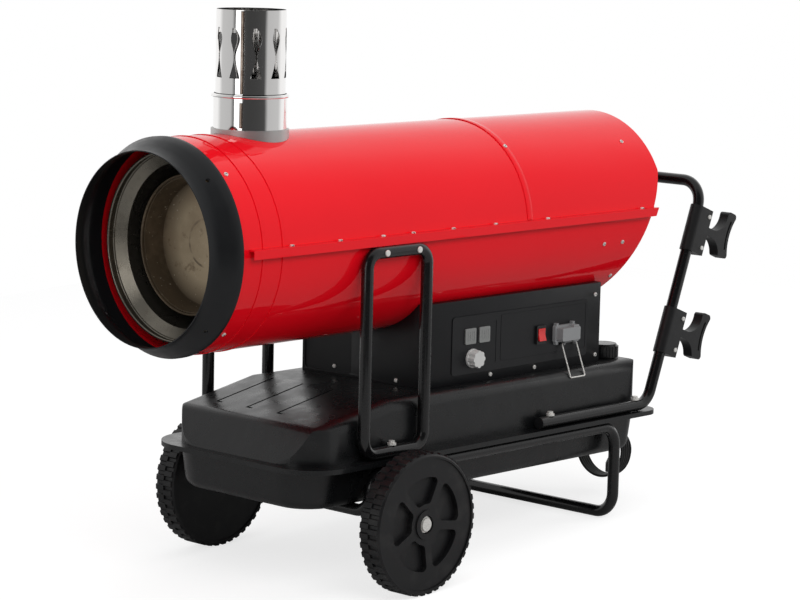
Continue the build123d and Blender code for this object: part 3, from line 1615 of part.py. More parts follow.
# Coil: half turns that each step one way by half the pitch, then a smaller arc into the middle
coil_path = []
coil_step = coil_pitch / 2
for half_turn in range(coil_half_turns):
    x0 = coil_x + half_turn * coil_step
    down = 1 if half_turn % 2 == 0 else -1
    start = Vector(x0, coil_y + down * coil_r, coil_z)
    end = Vector(x0 + coil_step, coil_y - down * coil_r, coil_z)
    middle = (start + end) / 2 + Vector(0, 0, -down * (end - start).length / 2)
    coil_path.append(ThreePointArc(start, middle, end))
last = coil_path[-1] @ 1
tail_x = last.X + plug_r + cord_r  # the plug hangs beside the turns
tail_end = Vector(tail_x, coil_y, coil_z)
tail_top = (last + tail_end) / 2 + Vector(0, 0, (tail_end - last).length / 2)
coil_path.append(ThreePointArc(last, tail_top, tail_end))
coil_wire = Wire(coil_path)
with BuildPart() as cord_coil:
    add(tube_along(coil_wire, cord_r, 0))
print("coil volume share", round(cord_coil.part.volume / (pi * cord_r**2 * coil_wire.length), 3))
samples = 40 * (coil_half_turns + 1)
places = [coil_wire @ (n / samples) for n in range(samples + 1)]
apart = 50
nearest = min(
    (places[a] - places[b]).length
    for a in range(0, samples + 1 - apart)
    for b in range(a + apart, samples + 1)
)
print("coil least gap to itself", round(nearest - 2 * cord_r, 2))
keep(cord_coil, "cord_coil")

with BuildPart() as cord_tie:
    first_top = coil_x + 1.5 * coil_step
    last_top = coil_x + (coil_half_turns - 1.5) * coil_step
    tie_x = (first_top + last_top) / 2
    tie_in = cord_r + gap
    tie_out = tie_in + tie_wall
    with BuildSketch(Plane.XZ.offset(-(coil_y + tie_width / 2))):
        with Locations((tie_x, coil_z + coil_r)):
            SlotOverall(last_top - first_top + 2 * tie_out, 2 * tie_out)
            SlotOverall(last_top - first_top + 2 * tie_in, 2 * tie_in, mode=Mode.SUBTRACT)
    extrude(amount=tie_width)
    with Locations((tie_x, coil_y, coil_z + coil_r + tie_in + gap)):
        Box(1.4 * tie_width, 1.6 * tie_width, tie_width, align=on_base)
keep(cord_tie, "cord_tie")

plug_top = coil_z - relief_length
shoulder_top = plug_top - plug_shoulder
with BuildPart() as mains_plug:
    with Locations((tail_x, coil_y, coil_z)):
        Cone(cord_r + 2 * tie_wall, cord_r + tie_wall / 2, relief_length, align=under)
    with BuildSketch(Plane.XY.offset(plug_top)):
        with Locations((tail_x, coil_y)):
            Circle(plug_r * plug_waist)
    with BuildSketch(Plane.XY.offset(shoulder_top)):
        with Locations((tail_x, coil_y)):
            Circle(plug_r)
    loft()
    with BuildSketch(Plane.XY.offset(shoulder_top)):
        with Locations((tail_x, coil_y)):
            Circle(plug_r)
    extrude(amount=-(plug_length - plug_shoulder))
    with BuildSketch(Plane.XY.offset(plug_top - plug_length)):
        with Locations((tail_x, coil_y)):
            with GridLocations(1, pin_pitch, 1, 2):
                Circle(pin_r)
    extrude(amount=-pin_length)
keep(mains_plug, "mains_plug")

# ---- Stance ---------------------------------------------------------------------------------------
cord_nodes = ("cord_gland", "power_cord", "cord_coil", "cord_tie", "mains_plug")
tilt = Location((0, 0, 0), (0, nose_up, 0))
boxes = [(tilt * piece).bounding_box() for name, piece in pieces.items() if name not in cord_nodes]
low = [min(tuple(box.min)[n] for box in boxes) for n in range(3)]
high = [max(tuple(box.max)[n] for box in boxes) for n in range(3)]
stance = Location((-(low[0] + high[0]) / 2, -(low[1] + high[1]) / 2, -low[2])) * tilt
print("size", [round(high[n] - low[n], 1) for n in range(3)])

os.makedirs("parts", exist_ok=True)
for name, piece in pieces.items():
    stood = stance * piece
    stood.label = name
    export_step(stood, f"parts/{name}.step")
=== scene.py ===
import json
import math

import bmesh
import bpy
from mathutils import Matrix, Vector


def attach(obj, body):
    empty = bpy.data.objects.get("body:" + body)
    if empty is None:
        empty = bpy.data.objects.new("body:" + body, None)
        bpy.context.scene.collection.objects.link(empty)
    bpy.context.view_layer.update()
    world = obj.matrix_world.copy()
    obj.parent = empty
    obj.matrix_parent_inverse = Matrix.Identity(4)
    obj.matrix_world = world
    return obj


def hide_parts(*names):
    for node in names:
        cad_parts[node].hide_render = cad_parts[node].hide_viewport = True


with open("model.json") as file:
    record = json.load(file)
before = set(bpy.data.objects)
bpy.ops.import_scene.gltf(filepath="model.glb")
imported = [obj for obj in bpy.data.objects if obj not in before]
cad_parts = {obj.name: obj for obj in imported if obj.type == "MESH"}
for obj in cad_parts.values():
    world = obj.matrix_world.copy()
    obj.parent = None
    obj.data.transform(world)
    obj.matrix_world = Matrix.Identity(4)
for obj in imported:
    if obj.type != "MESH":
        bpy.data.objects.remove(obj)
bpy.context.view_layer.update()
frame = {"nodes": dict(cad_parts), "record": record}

# Forced air heater: camera, mains lead, studio, materials and small pieces round the CAD frame.
# Body frame, as in the CAD: millimetres, X along the barrel from the nose cone's rear rim, Z up
# from the barrel's axis. The whole heater is tipped nose up about Y. Blender's lengths are metres.

MM = 0.001
NOSE_UP = math.radians(2.8)
mounts = {mount["name"]: mount for mount in frame["record"]["mounts"]}
nodes = frame["nodes"]

# The air outlet mount lies on the barrel's axis, in front of the body frame's origin
OUTLET_X = -58 * MM
tilt = Matrix.Rotation(NOSE_UP, 4, "Y")
origin = Vector(mounts["air_outlet"]["pos_m"]) - tilt @ Vector((OUTLET_X, 0, 0))
stance = Matrix.Translation(origin) @ tilt


def place(x, y, z):
    """A body-frame point in millimetres, in the row frame in metres."""
    return stance @ (Vector((x, y, z)) * MM)


# ---- Camera --------------------------------------------------------------------------------------
CAMERA_BODY = (-3735.0, -4051.4, 697.8)
CAMERA_AZIMUTH = math.radians(-47.08)
CAMERA_ELEVATION = math.radians(10.24)
CAMERA_ROLL = math.radians(-0.62)
IMAGE_WIDTH = 800
FOCAL_PIXELS = 2868.2
SENSOR_WIDTH = 36.0
CLIP_END = 60.0

camera_data = bpy.data.cameras.new("camera")
camera_data.sensor_width = SENSOR_WIDTH
camera_data.lens = FOCAL_PIXELS / IMAGE_WIDTH * SENSOR_WIDTH
camera_data.clip_end = CLIP_END
camera = bpy.data.objects.new("camera", camera_data)
bpy.context.scene.collection.objects.link(camera)
bpy.context.scene.camera = camera
camera_back = Vector(
    (
        math.sin(CAMERA_AZIMUTH) * math.cos(CAMERA_ELEVATION),
        -math.cos(CAMERA_AZIMUTH) * math.cos(CAMERA_ELEVATION),
        math.sin(CAMERA_ELEVATION),
    )
)
turn = camera_back.to_track_quat("Z", "Y").to_matrix().to_4x4()
camera.matrix_world = (
    Matrix.Translation(place(*CAMERA_BODY)) @ turn @ Matrix.Rotation(CAMERA_ROLL, 4, "Z")
)

# ---- Mains lead ----------------------------------------------------------------------------------
LEAD_DIAMETER = 6.6
LEAD_EXIT = (1154.0, -20.0, -285.0)
COIL_X, COIL_Y, COIL_Z = 1283.0, -60.0, -552.0
COIL_RADIUS = 64.0
COIL_PITCH = 3.6
HALF_TURNS = 9
TURN_STEPS = 7
LEAD_POINTS = (
    LEAD_EXIT,
    (1192.0, -20.0, -285.0),
    (1234.0, -17.0, -299.0),
    (1264.0, -11.0, -332.0),
    (1279.0, -6.0, -376.0),
    (1285.0, -2.0, -424.0),
    (1286.0, 2.0, -472.0),
    (1283.0, 4.0, -514.0),
)
TAIL_RISE = 34.0
TAIL_STEPS = 6
TAIL_END = (1337.2, -60.0, -552.0)


def coil_points():
    """Points of the hanging coil's half turns, each a step further along X."""
    points = []
    for turn_index in range(HALF_TURNS):
        down = 1 if turn_index % 2 == 0 else -1
        x_start = COIL_X + COIL_PITCH * turn_index
        for step in range(TURN_STEPS):
            angle = math.pi * step / TURN_STEPS
            x = x_start + COIL_PITCH * (1 - math.cos(angle)) / 2
            y = COIL_Y + COIL_RADIUS * down * math.cos(angle)
            z = COIL_Z - COIL_RADIUS * down * math.sin(angle)
            points.append((x, y, z))
    return points


def tail_points():
    """The last end, over the top of the coil and down into the plug."""
    x_start = COIL_X + COIL_PITCH * HALF_TURNS
    y_start = COIL_Y - COIL_RADIUS
    points = [(x_start, y_start, COIL_Z)]
    for step in range(1, TAIL_STEPS):
        angle = math.pi * step / TAIL_STEPS
        share = (1 - math.cos(angle)) / 2
        x = x_start + (TAIL_END[0] - x_start) * share
        y = y_start + (TAIL_END[1] - y_start) * share
        points.append((x, y, COIL_Z + TAIL_RISE * math.sin(angle)))
    points.append(TAIL_END)
    return points


lead_curve = bpy.data.curves.new("mains_lead", "CURVE")
lead_curve.dimensions = "3D"
# The points' own radius gives the thickness, so that the curve's box is true
lead_curve.bevel_depth = 1.0
lead_curve.bevel_resolution = 5
lead_curve.resolution_u = 6
lead_curve.use_fill_caps = True
route = list(LEAD_POINTS) + coil_points() + tail_points()
spline = lead_curve.splines.new("NURBS")
spline.points.add(len(route) - 1)
for point, where in zip(spline.points, route):
    point.co = (*place(*where), 1)
    point.radius = LEAD_DIAMETER / 2 * MM
spline.order_u = 3
spline.use_endpoint_u = True
mains_lead = bpy.data.objects.new("mains_lead", lead_curve)
bpy.context.scene.collection.objects.link(mains_lead)
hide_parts("power_cord", "cord_coil")
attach(mains_lead, "heater")

# ---- Studio --------------------------------------------------------------------------------------
WHITE = (1, 1, 1, 1)
FLOOR_SIZE = 6.0
FLOOR_COLOUR = 0.42
FLOOR_ROUGHNESS = 0.9
FLOOR_GLOW = 0.72  # added white, for the camera only
ROOM_LIGHT = 0.52  # the room's light on matte surfaces
# Grey of the room by direction: 0 is away from the camera's side, 1 is the camera's side
ROOM_STOPS = ((0.0, 1.0), (0.25, 1.0), (0.40, 0.60), (0.74, 0.55), (0.82, 0.07), (1.0, 0.05))
LAMP_TARGET = (0, 0, 0.6)
# Name, place, width and height, power, seen in gloss
LAMPS = (
    ("top_box", (0.0, -0.4, 3.4), (3.0, 2.2), 26, False),
    ("key_box", (-1.4, -3.4, 2.9), (2.6, 2.0), 64, False),
    ("left_box", (-3.4, -0.4, 1.5), (1.4, 2.2), 14, True),
    ("right_box", (2.8, -2.6, 2.2), (1.6, 1.6), 22, False),
)
# Sockets of a Mix node that mixes colours
MIX_A, MIX_B, MIX_RESULT = 6, 7, 2


def grey(value):
    """A grey as a shader colour."""
    return (value, value, value, 1)


def area_light(name, location, size, power, glossy):
    """A soft box aimed at the heater."""
    light = bpy.data.lights.new(name, "AREA")
    light.shape = "RECTANGLE"
    light.size, light.size_y = size
    light.energy = power
    box = bpy.data.objects.new(name, light)
    bpy.context.scene.collection.objects.link(box)
    aim = Vector(location) - Vector(LAMP_TARGET)
    facing_heater = aim.to_track_quat("Z", "Y").to_matrix().to_4x4()
    box.matrix_world = Matrix.Translation(location) @ facing_heater
    box.visible_glossy = glossy


bpy.ops.mesh.primitive_plane_add(size=FLOOR_SIZE)
floor = bpy.context.object
floor.name = "floor"
floor_mat = bpy.data.materials.new("floor")
floor_mat.use_nodes = True
floor_tree = floor_mat.node_tree
floor_shader = floor_tree.nodes["Principled BSDF"]
floor_shader.inputs["Base Color"].default_value = grey(FLOOR_COLOUR)
floor_shader.inputs["Roughness"].default_value = FLOOR_ROUGHNESS
floor_shader.inputs["Specular IOR Level"].default_value = 0.0
floor_shader.inputs["Emission Color"].default_value = WHITE
floor_path = floor_tree.nodes.new("ShaderNodeLightPath")
floor_glow = floor_tree.nodes.new("ShaderNodeMath")
floor_glow.operation = "MULTIPLY"
floor_glow.inputs[1].default_value = FLOOR_GLOW
floor_tree.links.new(floor_path.outputs["Is Camera Ray"], floor_glow.inputs[0])
floor_tree.links.new(floor_glow.outputs[0], floor_shader.inputs["Emission Strength"])
floor.data.materials.append(floor_mat)

# The room is white to the camera. Gloss sees a dim side round the camera, grey flanks and white
# behind the object; matte surfaces get one even light.
world = bpy.data.worlds.new("studio")
bpy.context.scene.world = world
world.use_nodes = True
room = world.node_tree
background = room.nodes["Background"]
room_coords = room.nodes.new("ShaderNodeTexCoord")
facing = room.nodes.new("ShaderNodeVectorMath")
facing.operation = "DOT_PRODUCT"
facing.inputs[1].default_value = camera_back
room.links.new(room_coords.outputs["Generated"], facing.inputs[0])
shift = room.nodes.new("ShaderNodeMapRange")
shift.inputs["From Min"].default_value = -1.0
room.links.new(facing.outputs["Value"], shift.inputs["Value"])
ramp = room.nodes.new("ShaderNodeValToRGB")
room.links.new(shift.outputs["Result"], ramp.inputs["Fac"])
stops = ramp.color_ramp.elements
while len(stops) < len(ROOM_STOPS):
    stops.new(0.5)
for stop, (position, shade) in zip(stops, ROOM_STOPS):
    stop.position = position
    stop.color = grey(shade)
path = room.nodes.new("ShaderNodeLightPath")
gloss = room.nodes.new("ShaderNodeMath")
gloss.operation = "MAXIMUM"
room.links.new(path.outputs["Is Glossy Ray"], gloss.inputs[0])
room.links.new(path.outputs["Is Transmission Ray"], gloss.inputs[1])
matte_or_gloss = room.nodes.new("ShaderNodeMix")
matte_or_gloss.data_type = "RGBA"
matte_or_gloss.inputs[MIX_A].default_value = grey(ROOM_LIGHT)
room.links.new(ramp.outputs["Color"], matte_or_gloss.inputs[MIX_B])
room.links.new(gloss.outputs[0], matte_or_gloss.inputs["Factor"])
seen = room.nodes.new("ShaderNodeMix")
seen.data_type = "RGBA"
seen.inputs[MIX_B].default_value = WHITE
room.links.new(matte_or_gloss.outputs[MIX_RESULT], seen.inputs[MIX_A])
room.links.new(path.outputs["Is Camera Ray"], seen.inputs["Factor"])
room.links.new(seen.outputs[MIX_RESULT], background.inputs["Color"])
background.inputs["Strength"].default_value = 1.0
bpy.context.scene.view_settings.view_transform = "Standard"

for lamp in LAMPS:
    area_light(*lamp)

# ---- Materials -----------------------------------------------------------------------------------
CLEAR_COAT_ROUGHNESS = 0.03
# The chamber's dished end: its centre's place in millimetres, then radii in metres, first those of
# the painted shade that darkens it towards the rim
DISH_X = 105.0
DISH_SHADE_FADE = (0.075, 0.125)
RING_RADIUS = 0.047
RING_HALF_WIDTH = 0.0022


class Finish:
    """A procedural material on object coordinates, which are the row frame in metres."""

    def __init__(
        self,
        name,
        colour,
        roughness,
        metallic=0.0,
        coat=0.0,
        coat_roughness=CLEAR_COAT_ROUGHNESS,
        spec=0.5,
    ):
        self.mat = bpy.data.materials.new(name)
        self.mat.use_nodes = True
        self.tree = self.mat.node_tree
        self.shader = self.tree.nodes["Principled BSDF"]
        self.set("Base Color", (*colour, 1))
        self.set("Roughness", roughness)
        self.set("Metallic", metallic)
        self.set("Coat Weight", coat)
        self.set("Coat Roughness", coat_roughness)
        self.set("Specular IOR Level", spec)
        self.colour = None
        self.normal = None
        self.coords = self.tree.nodes.new("ShaderNodeTexCoord").outputs["Object"]

    def set(self, socket, value):
        """A constant on the shader's own socket."""
        self.shader.inputs[socket].default_value = value

    def link(self, output, target):
        """A link in the material's tree."""
        self.tree.links.new(output, target)

    def mapped(self, stretch):
        """Object coordinates scaled per axis."""
        mapping = self.tree.nodes.new("ShaderNodeMapping")
        mapping.inputs["Scale"].default_value = stretch
        self.link(self.coords, mapping.inputs["Vector"])
        return mapping.outputs["Vector"]

    def noise(self, scale, detail, rough=0.5, stretch=(1, 1, 1)):
        """A noise value; scale is in cells per metre."""
        node = self.tree.nodes.new("ShaderNodeTexNoise")
        node.inputs["Scale"].default_value = scale
        node.inputs["Detail"].default_value = detail
        node.inputs["Roughness"].default_value = rough
        self.link(self.mapped(stretch), node.inputs["Vector"])
        return node.outputs["Fac"]

    def spread(self, value, low, high):
        """A 0 to 1 value drawn out between two thresholds."""
        node = self.tree.nodes.new("ShaderNodeMapRange")
        node.inputs["From Min"].default_value = low
        node.inputs["From Max"].default_value = high
        self.link(value, node.inputs["Value"])
        return node.outputs["Result"]

    def tint(self, mask, colour, amount):
        """Mixes another colour in where a mask is high."""
        node = self.tree.nodes.new("ShaderNodeMix")
        node.data_type = "RGBA"
        node.inputs[MIX_B].default_value = (*colour, 1)
        if self.colour is None:
            node.inputs[MIX_A].default_value = self.shader.inputs["Base Color"].default_value
        else:
            self.link(self.colour, node.inputs[MIX_A])
        self.link(self.times(mask, amount), node.inputs["Factor"])
        self.colour = node.outputs[MIX_RESULT]
        self.link(self.colour, self.shader.inputs["Base Color"])

    def times(self, value, factor):
        """A value times a constant."""
        node = self.tree.nodes.new("ShaderNodeMath")
        node.operation = "MULTIPLY"
        node.inputs[1].default_value = factor
        self.link(value, node.inputs[0])
        return node.outputs[0]

    def rough(self, value, low, high):
        """Roughness that runs between two values with a mask."""
        node = self.tree.nodes.new("ShaderNodeMapRange")
        node.inputs["To Min"].default_value = low
        node.inputs["To Max"].default_value = high
        self.link(value, node.inputs["Value"])
        self.link(node.outputs["Result"], self.shader.inputs["Roughness"])

    def bump(self, height, distance, coat_too=False):
        """Adds relief; distance is in metres."""
        node = self.tree.nodes.new("ShaderNodeBump")
        node.inputs["Distance"].default_value = distance
        node.inputs["Strength"].default_value = 1.0
        self.link(height, node.inputs["Height"])
        if self.normal is not None:
            self.link(self.normal, node.inputs["Normal"])
        self.normal = node.outputs["Normal"]
        self.link(self.normal, self.shader.inputs["Normal"])
        if coat_too:
            self.link(self.normal, self.shader.inputs["Coat Normal"])

    def distance(self, point):
        """Distance from a row-frame point."""
        node = self.tree.nodes.new("ShaderNodeVectorMath")
        node.operation = "DISTANCE"
        self.link(self.coords, node.inputs[0])
        node.inputs[1].default_value = point
        return node.outputs["Value"]


def red_enamel():
    """Glossy red paint on the casing, a little wavy as thin sheet is."""
    m = Finish("red_enamel", (0.78, 0.004, 0.012), 0.30, coat=1.0, coat_roughness=0.015, spec=0.0)
    m.set("Coat IOR", 1.34)
    m.tint(m.spread(m.noise(2.2, 3), 0.35, 0.7), (0.70, 0.003, 0.009), 0.5)
    m.bump(m.noise(3.2, 1.0, 0.4, (1, 2.2, 2.2)), 0.0030, coat_too=True)
    m.bump(m.noise(22, 2.0, 0.4, (0.5, 1, 1)), 0.00020, coat_too=True)
    return m.mat


def cone_paint():
    """Half-matt black paint on the nose cone and the guard."""
    m = Finish("cone_paint", (0.0075, 0.008, 0.009), 0.34, spec=0.32)
    m.rough(m.spread(m.noise(30, 3), 0.3, 0.7), 0.28, 0.42)
    m.bump(m.noise(600, 2), 0.00005)
    return m.mat


def polished_steel():
    """Bright stainless sheet of the chimney, brushed along its height."""
    m = Finish("polished_steel", (0.86, 0.85, 0.84), 0.06, metallic=1.0)
    m.rough(m.spread(m.noise(60, 3, stretch=(1, 1, 0.08)), 0.3, 0.7), 0.04, 0.10)
    m.bump(m.noise(9, 1.5, stretch=(1, 1, 0.3)), 0.0016)
    m.bump(m.noise(38, 1.5, stretch=(1, 1, 0.5)), 0.00018)
    return m.mat


def seam_steel():
    """Browner steel of the chimney's folded seam."""
    m = Finish("seam_steel", (0.20, 0.15, 0.12), 0.16, metallic=1.0)
    m.tint(m.spread(m.noise(40, 3), 0.45, 0.7), (0.42, 0.36, 0.31), 0.6)
    m.rough(m.noise(120, 2), 0.1, 0.24)
    return m.mat


def collar_steel():
    """Matt light-grey metal of the chimney's collar."""
    m = Finish("collar_steel", (0.52, 0.52, 0.51), 0.42, metallic=0.85)
    m.rough(m.noise(90, 3), 0.34, 0.5)
    m.bump(m.noise(500, 2), 0.00004)
    return m.mat


def sooty_steel():
    """Drum steel inside the nose: dark and brownish, with lighter rubbed places."""
    m = Finish("sooty_steel", (0.20, 0.185, 0.155), 0.24, metallic=0.9)
    m.tint(m.spread(m.noise(9, 4, 0.6), 0.40, 0.72), (0.30, 0.27, 0.22), 0.8)
    m.tint(m.spread(m.noise(45, 4, 0.7), 0.55, 0.75), (0.10, 0.08, 0.06), 0.4)
    m.rough(m.noise(20, 3), 0.22, 0.34)
    m.bump(m.noise(500, 2), 0.00004)
    return m.mat


def zinc():
    """Zinc-plated fasteners and wire, with duller spots."""
    m = Finish("zinc", (0.84, 0.83, 0.80), 0.34, metallic=0.55)
    m.tint(m.spread(m.noise(300, 2), 0.4, 0.65), (0.62, 0.61, 0.57), 0.5)
    return m.mat


def chamber_steel():
    """Beige in the middle of the dish, darker and browner towards the rim and on the walls, partly
    heat tint and partly painted shade of the recess, with a faint broken ring mark.
    """
    m = Finish("chamber_tint_and_shade", (0.50, 0.40, 0.27), 0.46, metallic=0.45)
    dish_centre = place(DISH_X, 0, 0)
    # Painted shade: near-black brown towards the rim and over the chamber's walls, where the recess
    # lies in shade
    m.tint(m.spread(m.distance(dish_centre), *DISH_SHADE_FADE), (0.060, 0.040, 0.024), 0.9)
    m.tint(m.spread(m.noise(10, 4, 0.6), 0.48, 0.70), (0.30, 0.22, 0.14), 0.6)
    m.tint(m.spread(m.noise(34, 4, 0.7), 0.60, 0.72), (0.14, 0.09, 0.05), 0.7)
    m.tint(m.spread(m.noise(150, 3, 0.6), 0.66, 0.72), (0.62, 0.55, 0.44), 0.6)
    ring = m.tree.nodes.new("ShaderNodeMath")
    ring.operation = "COMPARE"
    ring.inputs[1].default_value = RING_RADIUS
    ring.inputs[2].default_value = RING_HALF_WIDTH
    m.link(m.distance(dish_centre), ring.inputs[0])
    broken = m.tree.nodes.new("ShaderNodeMath")
    broken.operation = "MULTIPLY"
    m.link(ring.outputs[0], broken.inputs[0])
    m.link(m.spread(m.noise(28, 2), 0.42, 0.60), broken.inputs[1])
    m.tint(broken.outputs[0], (0.10, 0.07, 0.05), 0.7)
    m.bump(m.noise(16, 3), 0.0008)
    return m.mat


def black_tube():
    """Powder-coated frame tube."""
    colour = (0.0032, 0.0032, 0.0036)
    m = Finish("black_tube", colour, 0.24, coat=0.6, coat_roughness=0.07, spec=0.3)
    m.rough(m.spread(m.noise(40, 3), 0.3, 0.7), 0.2, 0.34)
    m.bump(m.noise(420, 2), 0.00005)
    return m.mat


def box_paint():
    """Painted sheet of the control box."""
    m = Finish("box_paint", (0.0055, 0.0058, 0.0068), 0.38, spec=0.35)
    m.rough(m.spread(m.noise(12, 3), 0.3, 0.7), 0.34, 0.48)
    m.bump(m.noise(900, 2), 0.00005)
    return m.mat


def tank_plastic():
    """Moulded tank, with cloudy patches and a fine grain."""
    m = Finish("tank_plastic", (0.0045, 0.0048, 0.0053), 0.28, spec=0.5)
    m.tint(m.spread(m.noise(7, 4), 0.45, 0.75), (0.009, 0.0094, 0.010), 0.6)
    m.rough(m.spread(m.noise(25, 4), 0.3, 0.7), 0.22, 0.36)
    m.bump(m.noise(14, 2), 0.0012)
    m.bump(m.noise(700, 2), 0.00009)
    return m.mat


def moulded_plastic(name, colour, roughness):
    """A plain moulding with a fine grain."""
    m = Finish(name, colour, roughness)
    m.rough(m.spread(m.noise(80, 3), 0.3, 0.7), roughness * 0.85, roughness * 1.15)
    m.bump(m.noise(900, 2), 0.00006)
    return m.mat


def wheel_plastic():
    """Wheels, with dust in the grain."""
    m = Finish("wheel_plastic", (0.0065, 0.0065, 0.0072), 0.44, spec=0.4)
    m.tint(m.spread(m.noise(30, 4), 0.5, 0.75), (0.026, 0.025, 0.024), 0.5)
    m.bump(m.noise(500, 3), 0.00012)
    return m.mat


def cord_rubber():
    """Rubber sheath of the mains lead."""
    m = Finish("cord_rubber", (0.012, 0.012, 0.0125), 0.42)
    m.bump(m.noise(900, 2), 0.00008)
    return m.mat


def rocker_red():
    """Red rocker, a little uneven as if lit from inside."""
    m = Finish("rocker_red", (0.62, 0.02, 0.02), 0.25, coat=0.5)
    m.tint(m.spread(m.noise(90, 2), 0.4, 0.7), (0.45, 0.01, 0.01), 0.4)
    return m.mat


red = red_enamel()
cone_black = cone_paint()
polished = polished_steel()
collar_mat = collar_steel()
zinc_mat = zinc()
chamber_mat = chamber_steel()
drum_mat = sooty_steel()
tube_mat = black_tube()
box_mat = box_paint()
tank_mat = tank_plastic()
black_mat = moulded_plastic("black_moulding", (0.0085, 0.0085, 0.009), 0.42)
grey_mat = moulded_plastic("grey_moulding", (0.24, 0.245, 0.25), 0.42)
# Painted shade: the dark crosses that stand for the screws' cross recesses
recess_shade_mat = moulded_plastic("recess_shadow", (0.05, 0.048, 0.045), 0.6)
seam_mat = seam_steel()
knob_mat = moulded_plastic("knob_moulding", (0.55, 0.55, 0.54), 0.36)
display_mat = moulded_plastic("display_window", (0.20, 0.205, 0.20), 0.22)
wheel_mat = wheel_plastic()
cord_mat = cord_rubber()
rocker_mat = rocker_red()
motor_mat = moulded_plastic("motor_casting", (0.20, 0.20, 0.21), 0.5)
board_mat = moulded_plastic("board_green", (0.03, 0.14, 0.06), 0.5)

node_finishes = (
    (red, "upper_shell_front upper_shell_rear lower_shell joint_band"),
    (cone_black, "nose_cone inlet_guard"),
    (polished, "flue_sleeve flue_terminal"),
    (drum_mat, "heat_exchanger drum_supports flue_neck burner_tube motor_bracket"),
    (collar_mat, "flue_collar"),
    (chamber_mat, "combustion_chamber"),
    (zinc_mat, "casing_screws box_screws hook_screws frame_bolts hub_nuts wire_bail"),
    (zinc_mat, "motor_shaft axle axle_spacers electrodes nozzle_line"),
    (box_mat, "control_box control_panel access_plate"),
    (tube_mat, "base_frame hoop_left hoop_right handle_frame axle_plates"),
    (tank_mat, "fuel_tank fuel_cap drain_plug"),
    (black_mat, "end_plugs cable_hook_upper cable_hook_lower switch_bezel fan_impeller"),
    (black_mat, "ignition_transformer cord_tie cord_gland"),
    (grey_mat, "thermostat_socket connector_plug"),
    (knob_mat, "thermostat_knob"),
    (display_mat, "indicators"),
    (rocker_mat, "rocker_switch"),
    (motor_mat, "fan_motor burner_motor burner_housing fuel_pump"),
    (wheel_mat, "wheel_left wheel_right"),
    (cord_mat, "power_cord cord_coil mains_plug"),
    (board_mat, "control_board"),
)
for finish, names in node_finishes:
    for name in names.split():
        mesh = nodes[name].data
        mesh.materials.clear()
        mesh.materials.append(finish)

WELD_DISTANCE = 0.00001
EDGE_ANGLE = math.radians(32.0)
EASED_EDGES = {"joint_band": 0.0007, "control_box": 0.0012}


def soften(name, width):
    """Smooth shading on a CAD node, with its real edges kept, and eased where a width is given."""
    node = nodes[name]
    for polygon in node.data.polygons:
        polygon.use_smooth = True
    weld = node.modifiers.new("weld", "WELD")
    weld.merge_threshold = WELD_DISTANCE
    if width:
        bevel = node.modifiers.new("bevel", "BEVEL")
        bevel.width = width
        bevel.segments = 2
        bevel.limit_method = "ANGLE"
        bevel.angle_limit = EDGE_ANGLE
    split = node.modifiers.new("split", "EDGE_SPLIT")
    split.split_angle = EDGE_ANGLE


for name in nodes:
    soften(name, EASED_EDGES.get(name, 0.0))

lead_curve.materials.append(cord_mat)

# ---- Small pieces --------------------------------------------------------------------------------
FLUE_X = 220.0
SEAM_ANGLE = math.radians(211.5)
SEAM_HALF_WIDTH = 3.4
SEAM_PROUD = 0.9
SEAM_SUNK = 0.4
SEAM_LEAST = 0.05
SEAM_SQUARENESS = 5
SEAM_STEPS = 8
SEAM_END = 1.2
SEAM_END_DROP = 0.5
# Name, radius of the tube, lowest and highest point on the body frame's Z
SEAM_RUNS = (
    ("flue_seam_terminal", 69.5, 292.0, 453.5),
    ("flue_seam_sleeve", 73.0, 226.0, 275.0),
)


def skin(bm, rings):
    """Faces between rings of as many points each, with both ends closed."""
    count = len(rings[0])
    for below, above in zip(rings, rings[1:]):
        for index in range(count):
            following = (index + 1) % count
            bm.faces.new((below[index], below[following], above[following], above[index]))
    bm.faces.new(list(reversed(rings[0])))
    bm.faces.new(rings[-1])


def mesh_piece(name, bm, mat):
    """A finished mesh as a piece that rides on the heater."""
    bmesh.ops.recalc_face_normals(bm, faces=bm.faces)
    mesh = bpy.data.meshes.new(name)
    bm.to_mesh(mesh)
    bm.free()
    mesh.materials.append(mat)
    piece = bpy.data.objects.new(name, mesh)
    bpy.context.scene.collection.objects.link(piece)
    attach(piece, "heater")


def lock_seam(name, radius, low, high):
    """The folded lengthwise seam of a sheet tube: a flat raised strip with rounded edges."""
    bm = bmesh.new()
    rings = []
    for height in (low, low + SEAM_END, (low + high) / 2, high - SEAM_END, high):
        drop = SEAM_END_DROP if height in (low, high) else 0.0
        profile = []
        for step in range(SEAM_STEPS + 1):
            across = 2 * step / SEAM_STEPS - 1
            lift = SEAM_PROUD * (1 - abs(across) ** SEAM_SQUARENESS) - drop
            profile.append((across, radius + max(lift, SEAM_LEAST)))
        profile += [(1, radius - SEAM_SUNK), (-1, radius - SEAM_SUNK)]
        ring = []
        for across, reach in profile:
            angle = SEAM_ANGLE + across * SEAM_HALF_WIDTH / radius
            point = place(FLUE_X + reach * math.cos(angle), reach * math.sin(angle), height)
            ring.append(bm.verts.new(point))
        rings.append(ring)
    skin(bm, rings)
    mesh_piece(name, bm, seam_mat)


for seam_run in SEAM_RUNS:
    lock_seam(*seam_run)

CROSS_ARM = 2.7
CROSS_HALF_WIDTH = 0.62
CROSS_TIP = 0.7  # half width of an arm's tip, as a share of that at its root
CROSS_PROUD = 0.16
CROSS_SUNK = 0.5
CROSS_TURN = 0.7  # from one screw to the next, in radians
FACES_OUTWARD = 0.6  # least cosine between a head's flat and the way out
NORMAL_DECIMALS = 2


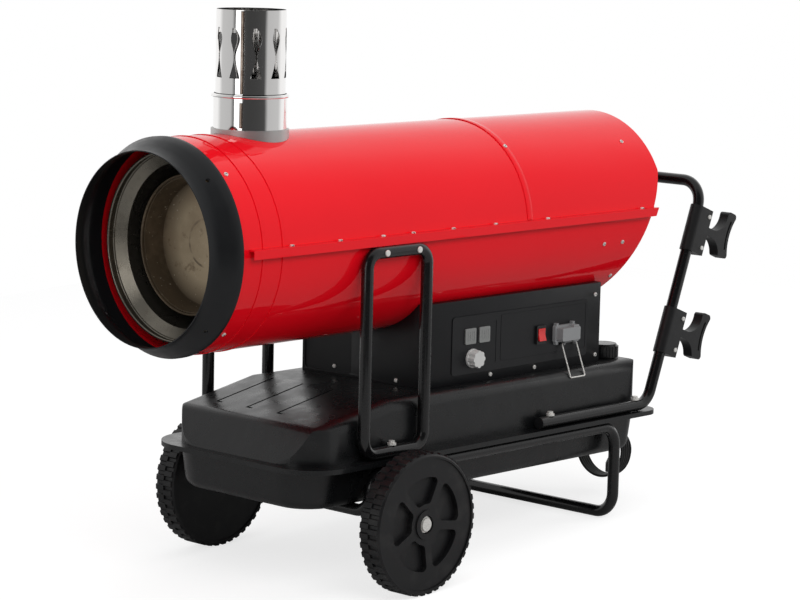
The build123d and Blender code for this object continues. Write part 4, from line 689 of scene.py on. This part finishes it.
def islands(name):
    """A copy of a CAD node's mesh, and its faces in one list for each separate solid."""
    bm = bmesh.new()
    bm.from_mesh(nodes[name].data)
    bmesh.ops.remove_doubles(bm, verts=bm.verts, dist=WELD_DISTANCE)
    seen_faces = set()
    groups = []
    for seed in bm.faces:
        if seed in seen_faces:
            continue
        seen_faces.add(seed)
        stack, group = [seed], []
        while stack:
            face = stack.pop()
            group.append(face)
            for edge in face.edges:
                for other in edge.link_faces:
                    if other not in seen_faces:
                        seen_faces.add(other)
                        stack.append(other)
        groups.append(group)
    return bm, groups


def outward_cap(group, away):
    """Centre and normal of the flat end face that looks away from what the screw holds."""
    flats = {}
    for face in group:
        key = tuple(round(value, NORMAL_DECIMALS) for value in face.normal)
        area, total, normal = flats.get(key, (0.0, Vector(), face.normal.copy()))
        size = face.calc_area()
        flats[key] = (area + size, total + face.calc_center_median() * size, normal)
    best_area, best = 0.0, None
    for area, total, normal in flats.values():
        middle = total / area
        if normal.dot(away(middle)) > FACES_OUTWARD and area > best_area:
            best_area, best = area, (middle, normal)
    return best


def from_barrel(point):
    """Direction from the barrel's axis to a point."""
    local = stance.inverted() @ point
    return (stance.to_3x3() @ Vector((0, local.y, local.z))).normalized()


def from_box(point):
    """Sideways, out of the control box."""
    return Vector((0, math.copysign(1, point.y), 0))


def cross_outline():
    """Corners of a plus shape, round the middle."""
    arm, half = CROSS_ARM * MM, CROSS_HALF_WIDTH * MM
    tip = half * CROSS_TIP
    corners = []
    for quarter in range(4):
        spin = Matrix.Rotation(quarter * math.pi / 2, 2)
        for x, y in ((arm, -tip), (arm, tip), (half, half)):
            corners.append(spin @ Vector((x, y)))
    return corners


def recesses(piece_name, node_name, away):
    """Dark crosses a little proud of the screw heads, each one turned: painted shade in place of
    the recesses.
    """
    source, groups = islands(node_name)
    bm = bmesh.new()
    for number, group in enumerate(groups):
        cap = outward_cap(group, away)
        if cap is None:
            continue
        middle, normal = cap
        turned = normal.to_track_quat("Z", "Y").to_matrix().to_4x4()
        seat = Matrix.Translation(middle) @ turned @ Matrix.Rotation(number * CROSS_TURN, 4, "Z")
        rings = []
        for height in (-CROSS_SUNK * MM, CROSS_PROUD * MM):
            ring = [bm.verts.new(seat @ Vector((x, y, height))) for x, y in cross_outline()]
            rings.append(ring)
        skin(bm, rings)
    source.free()
    mesh_piece(piece_name, bm, recess_shade_mat)


recesses("casing_screw_recess_shade", "casing_screws", from_barrel)
recesses("box_screw_recess_shade", "box_screws", from_box)
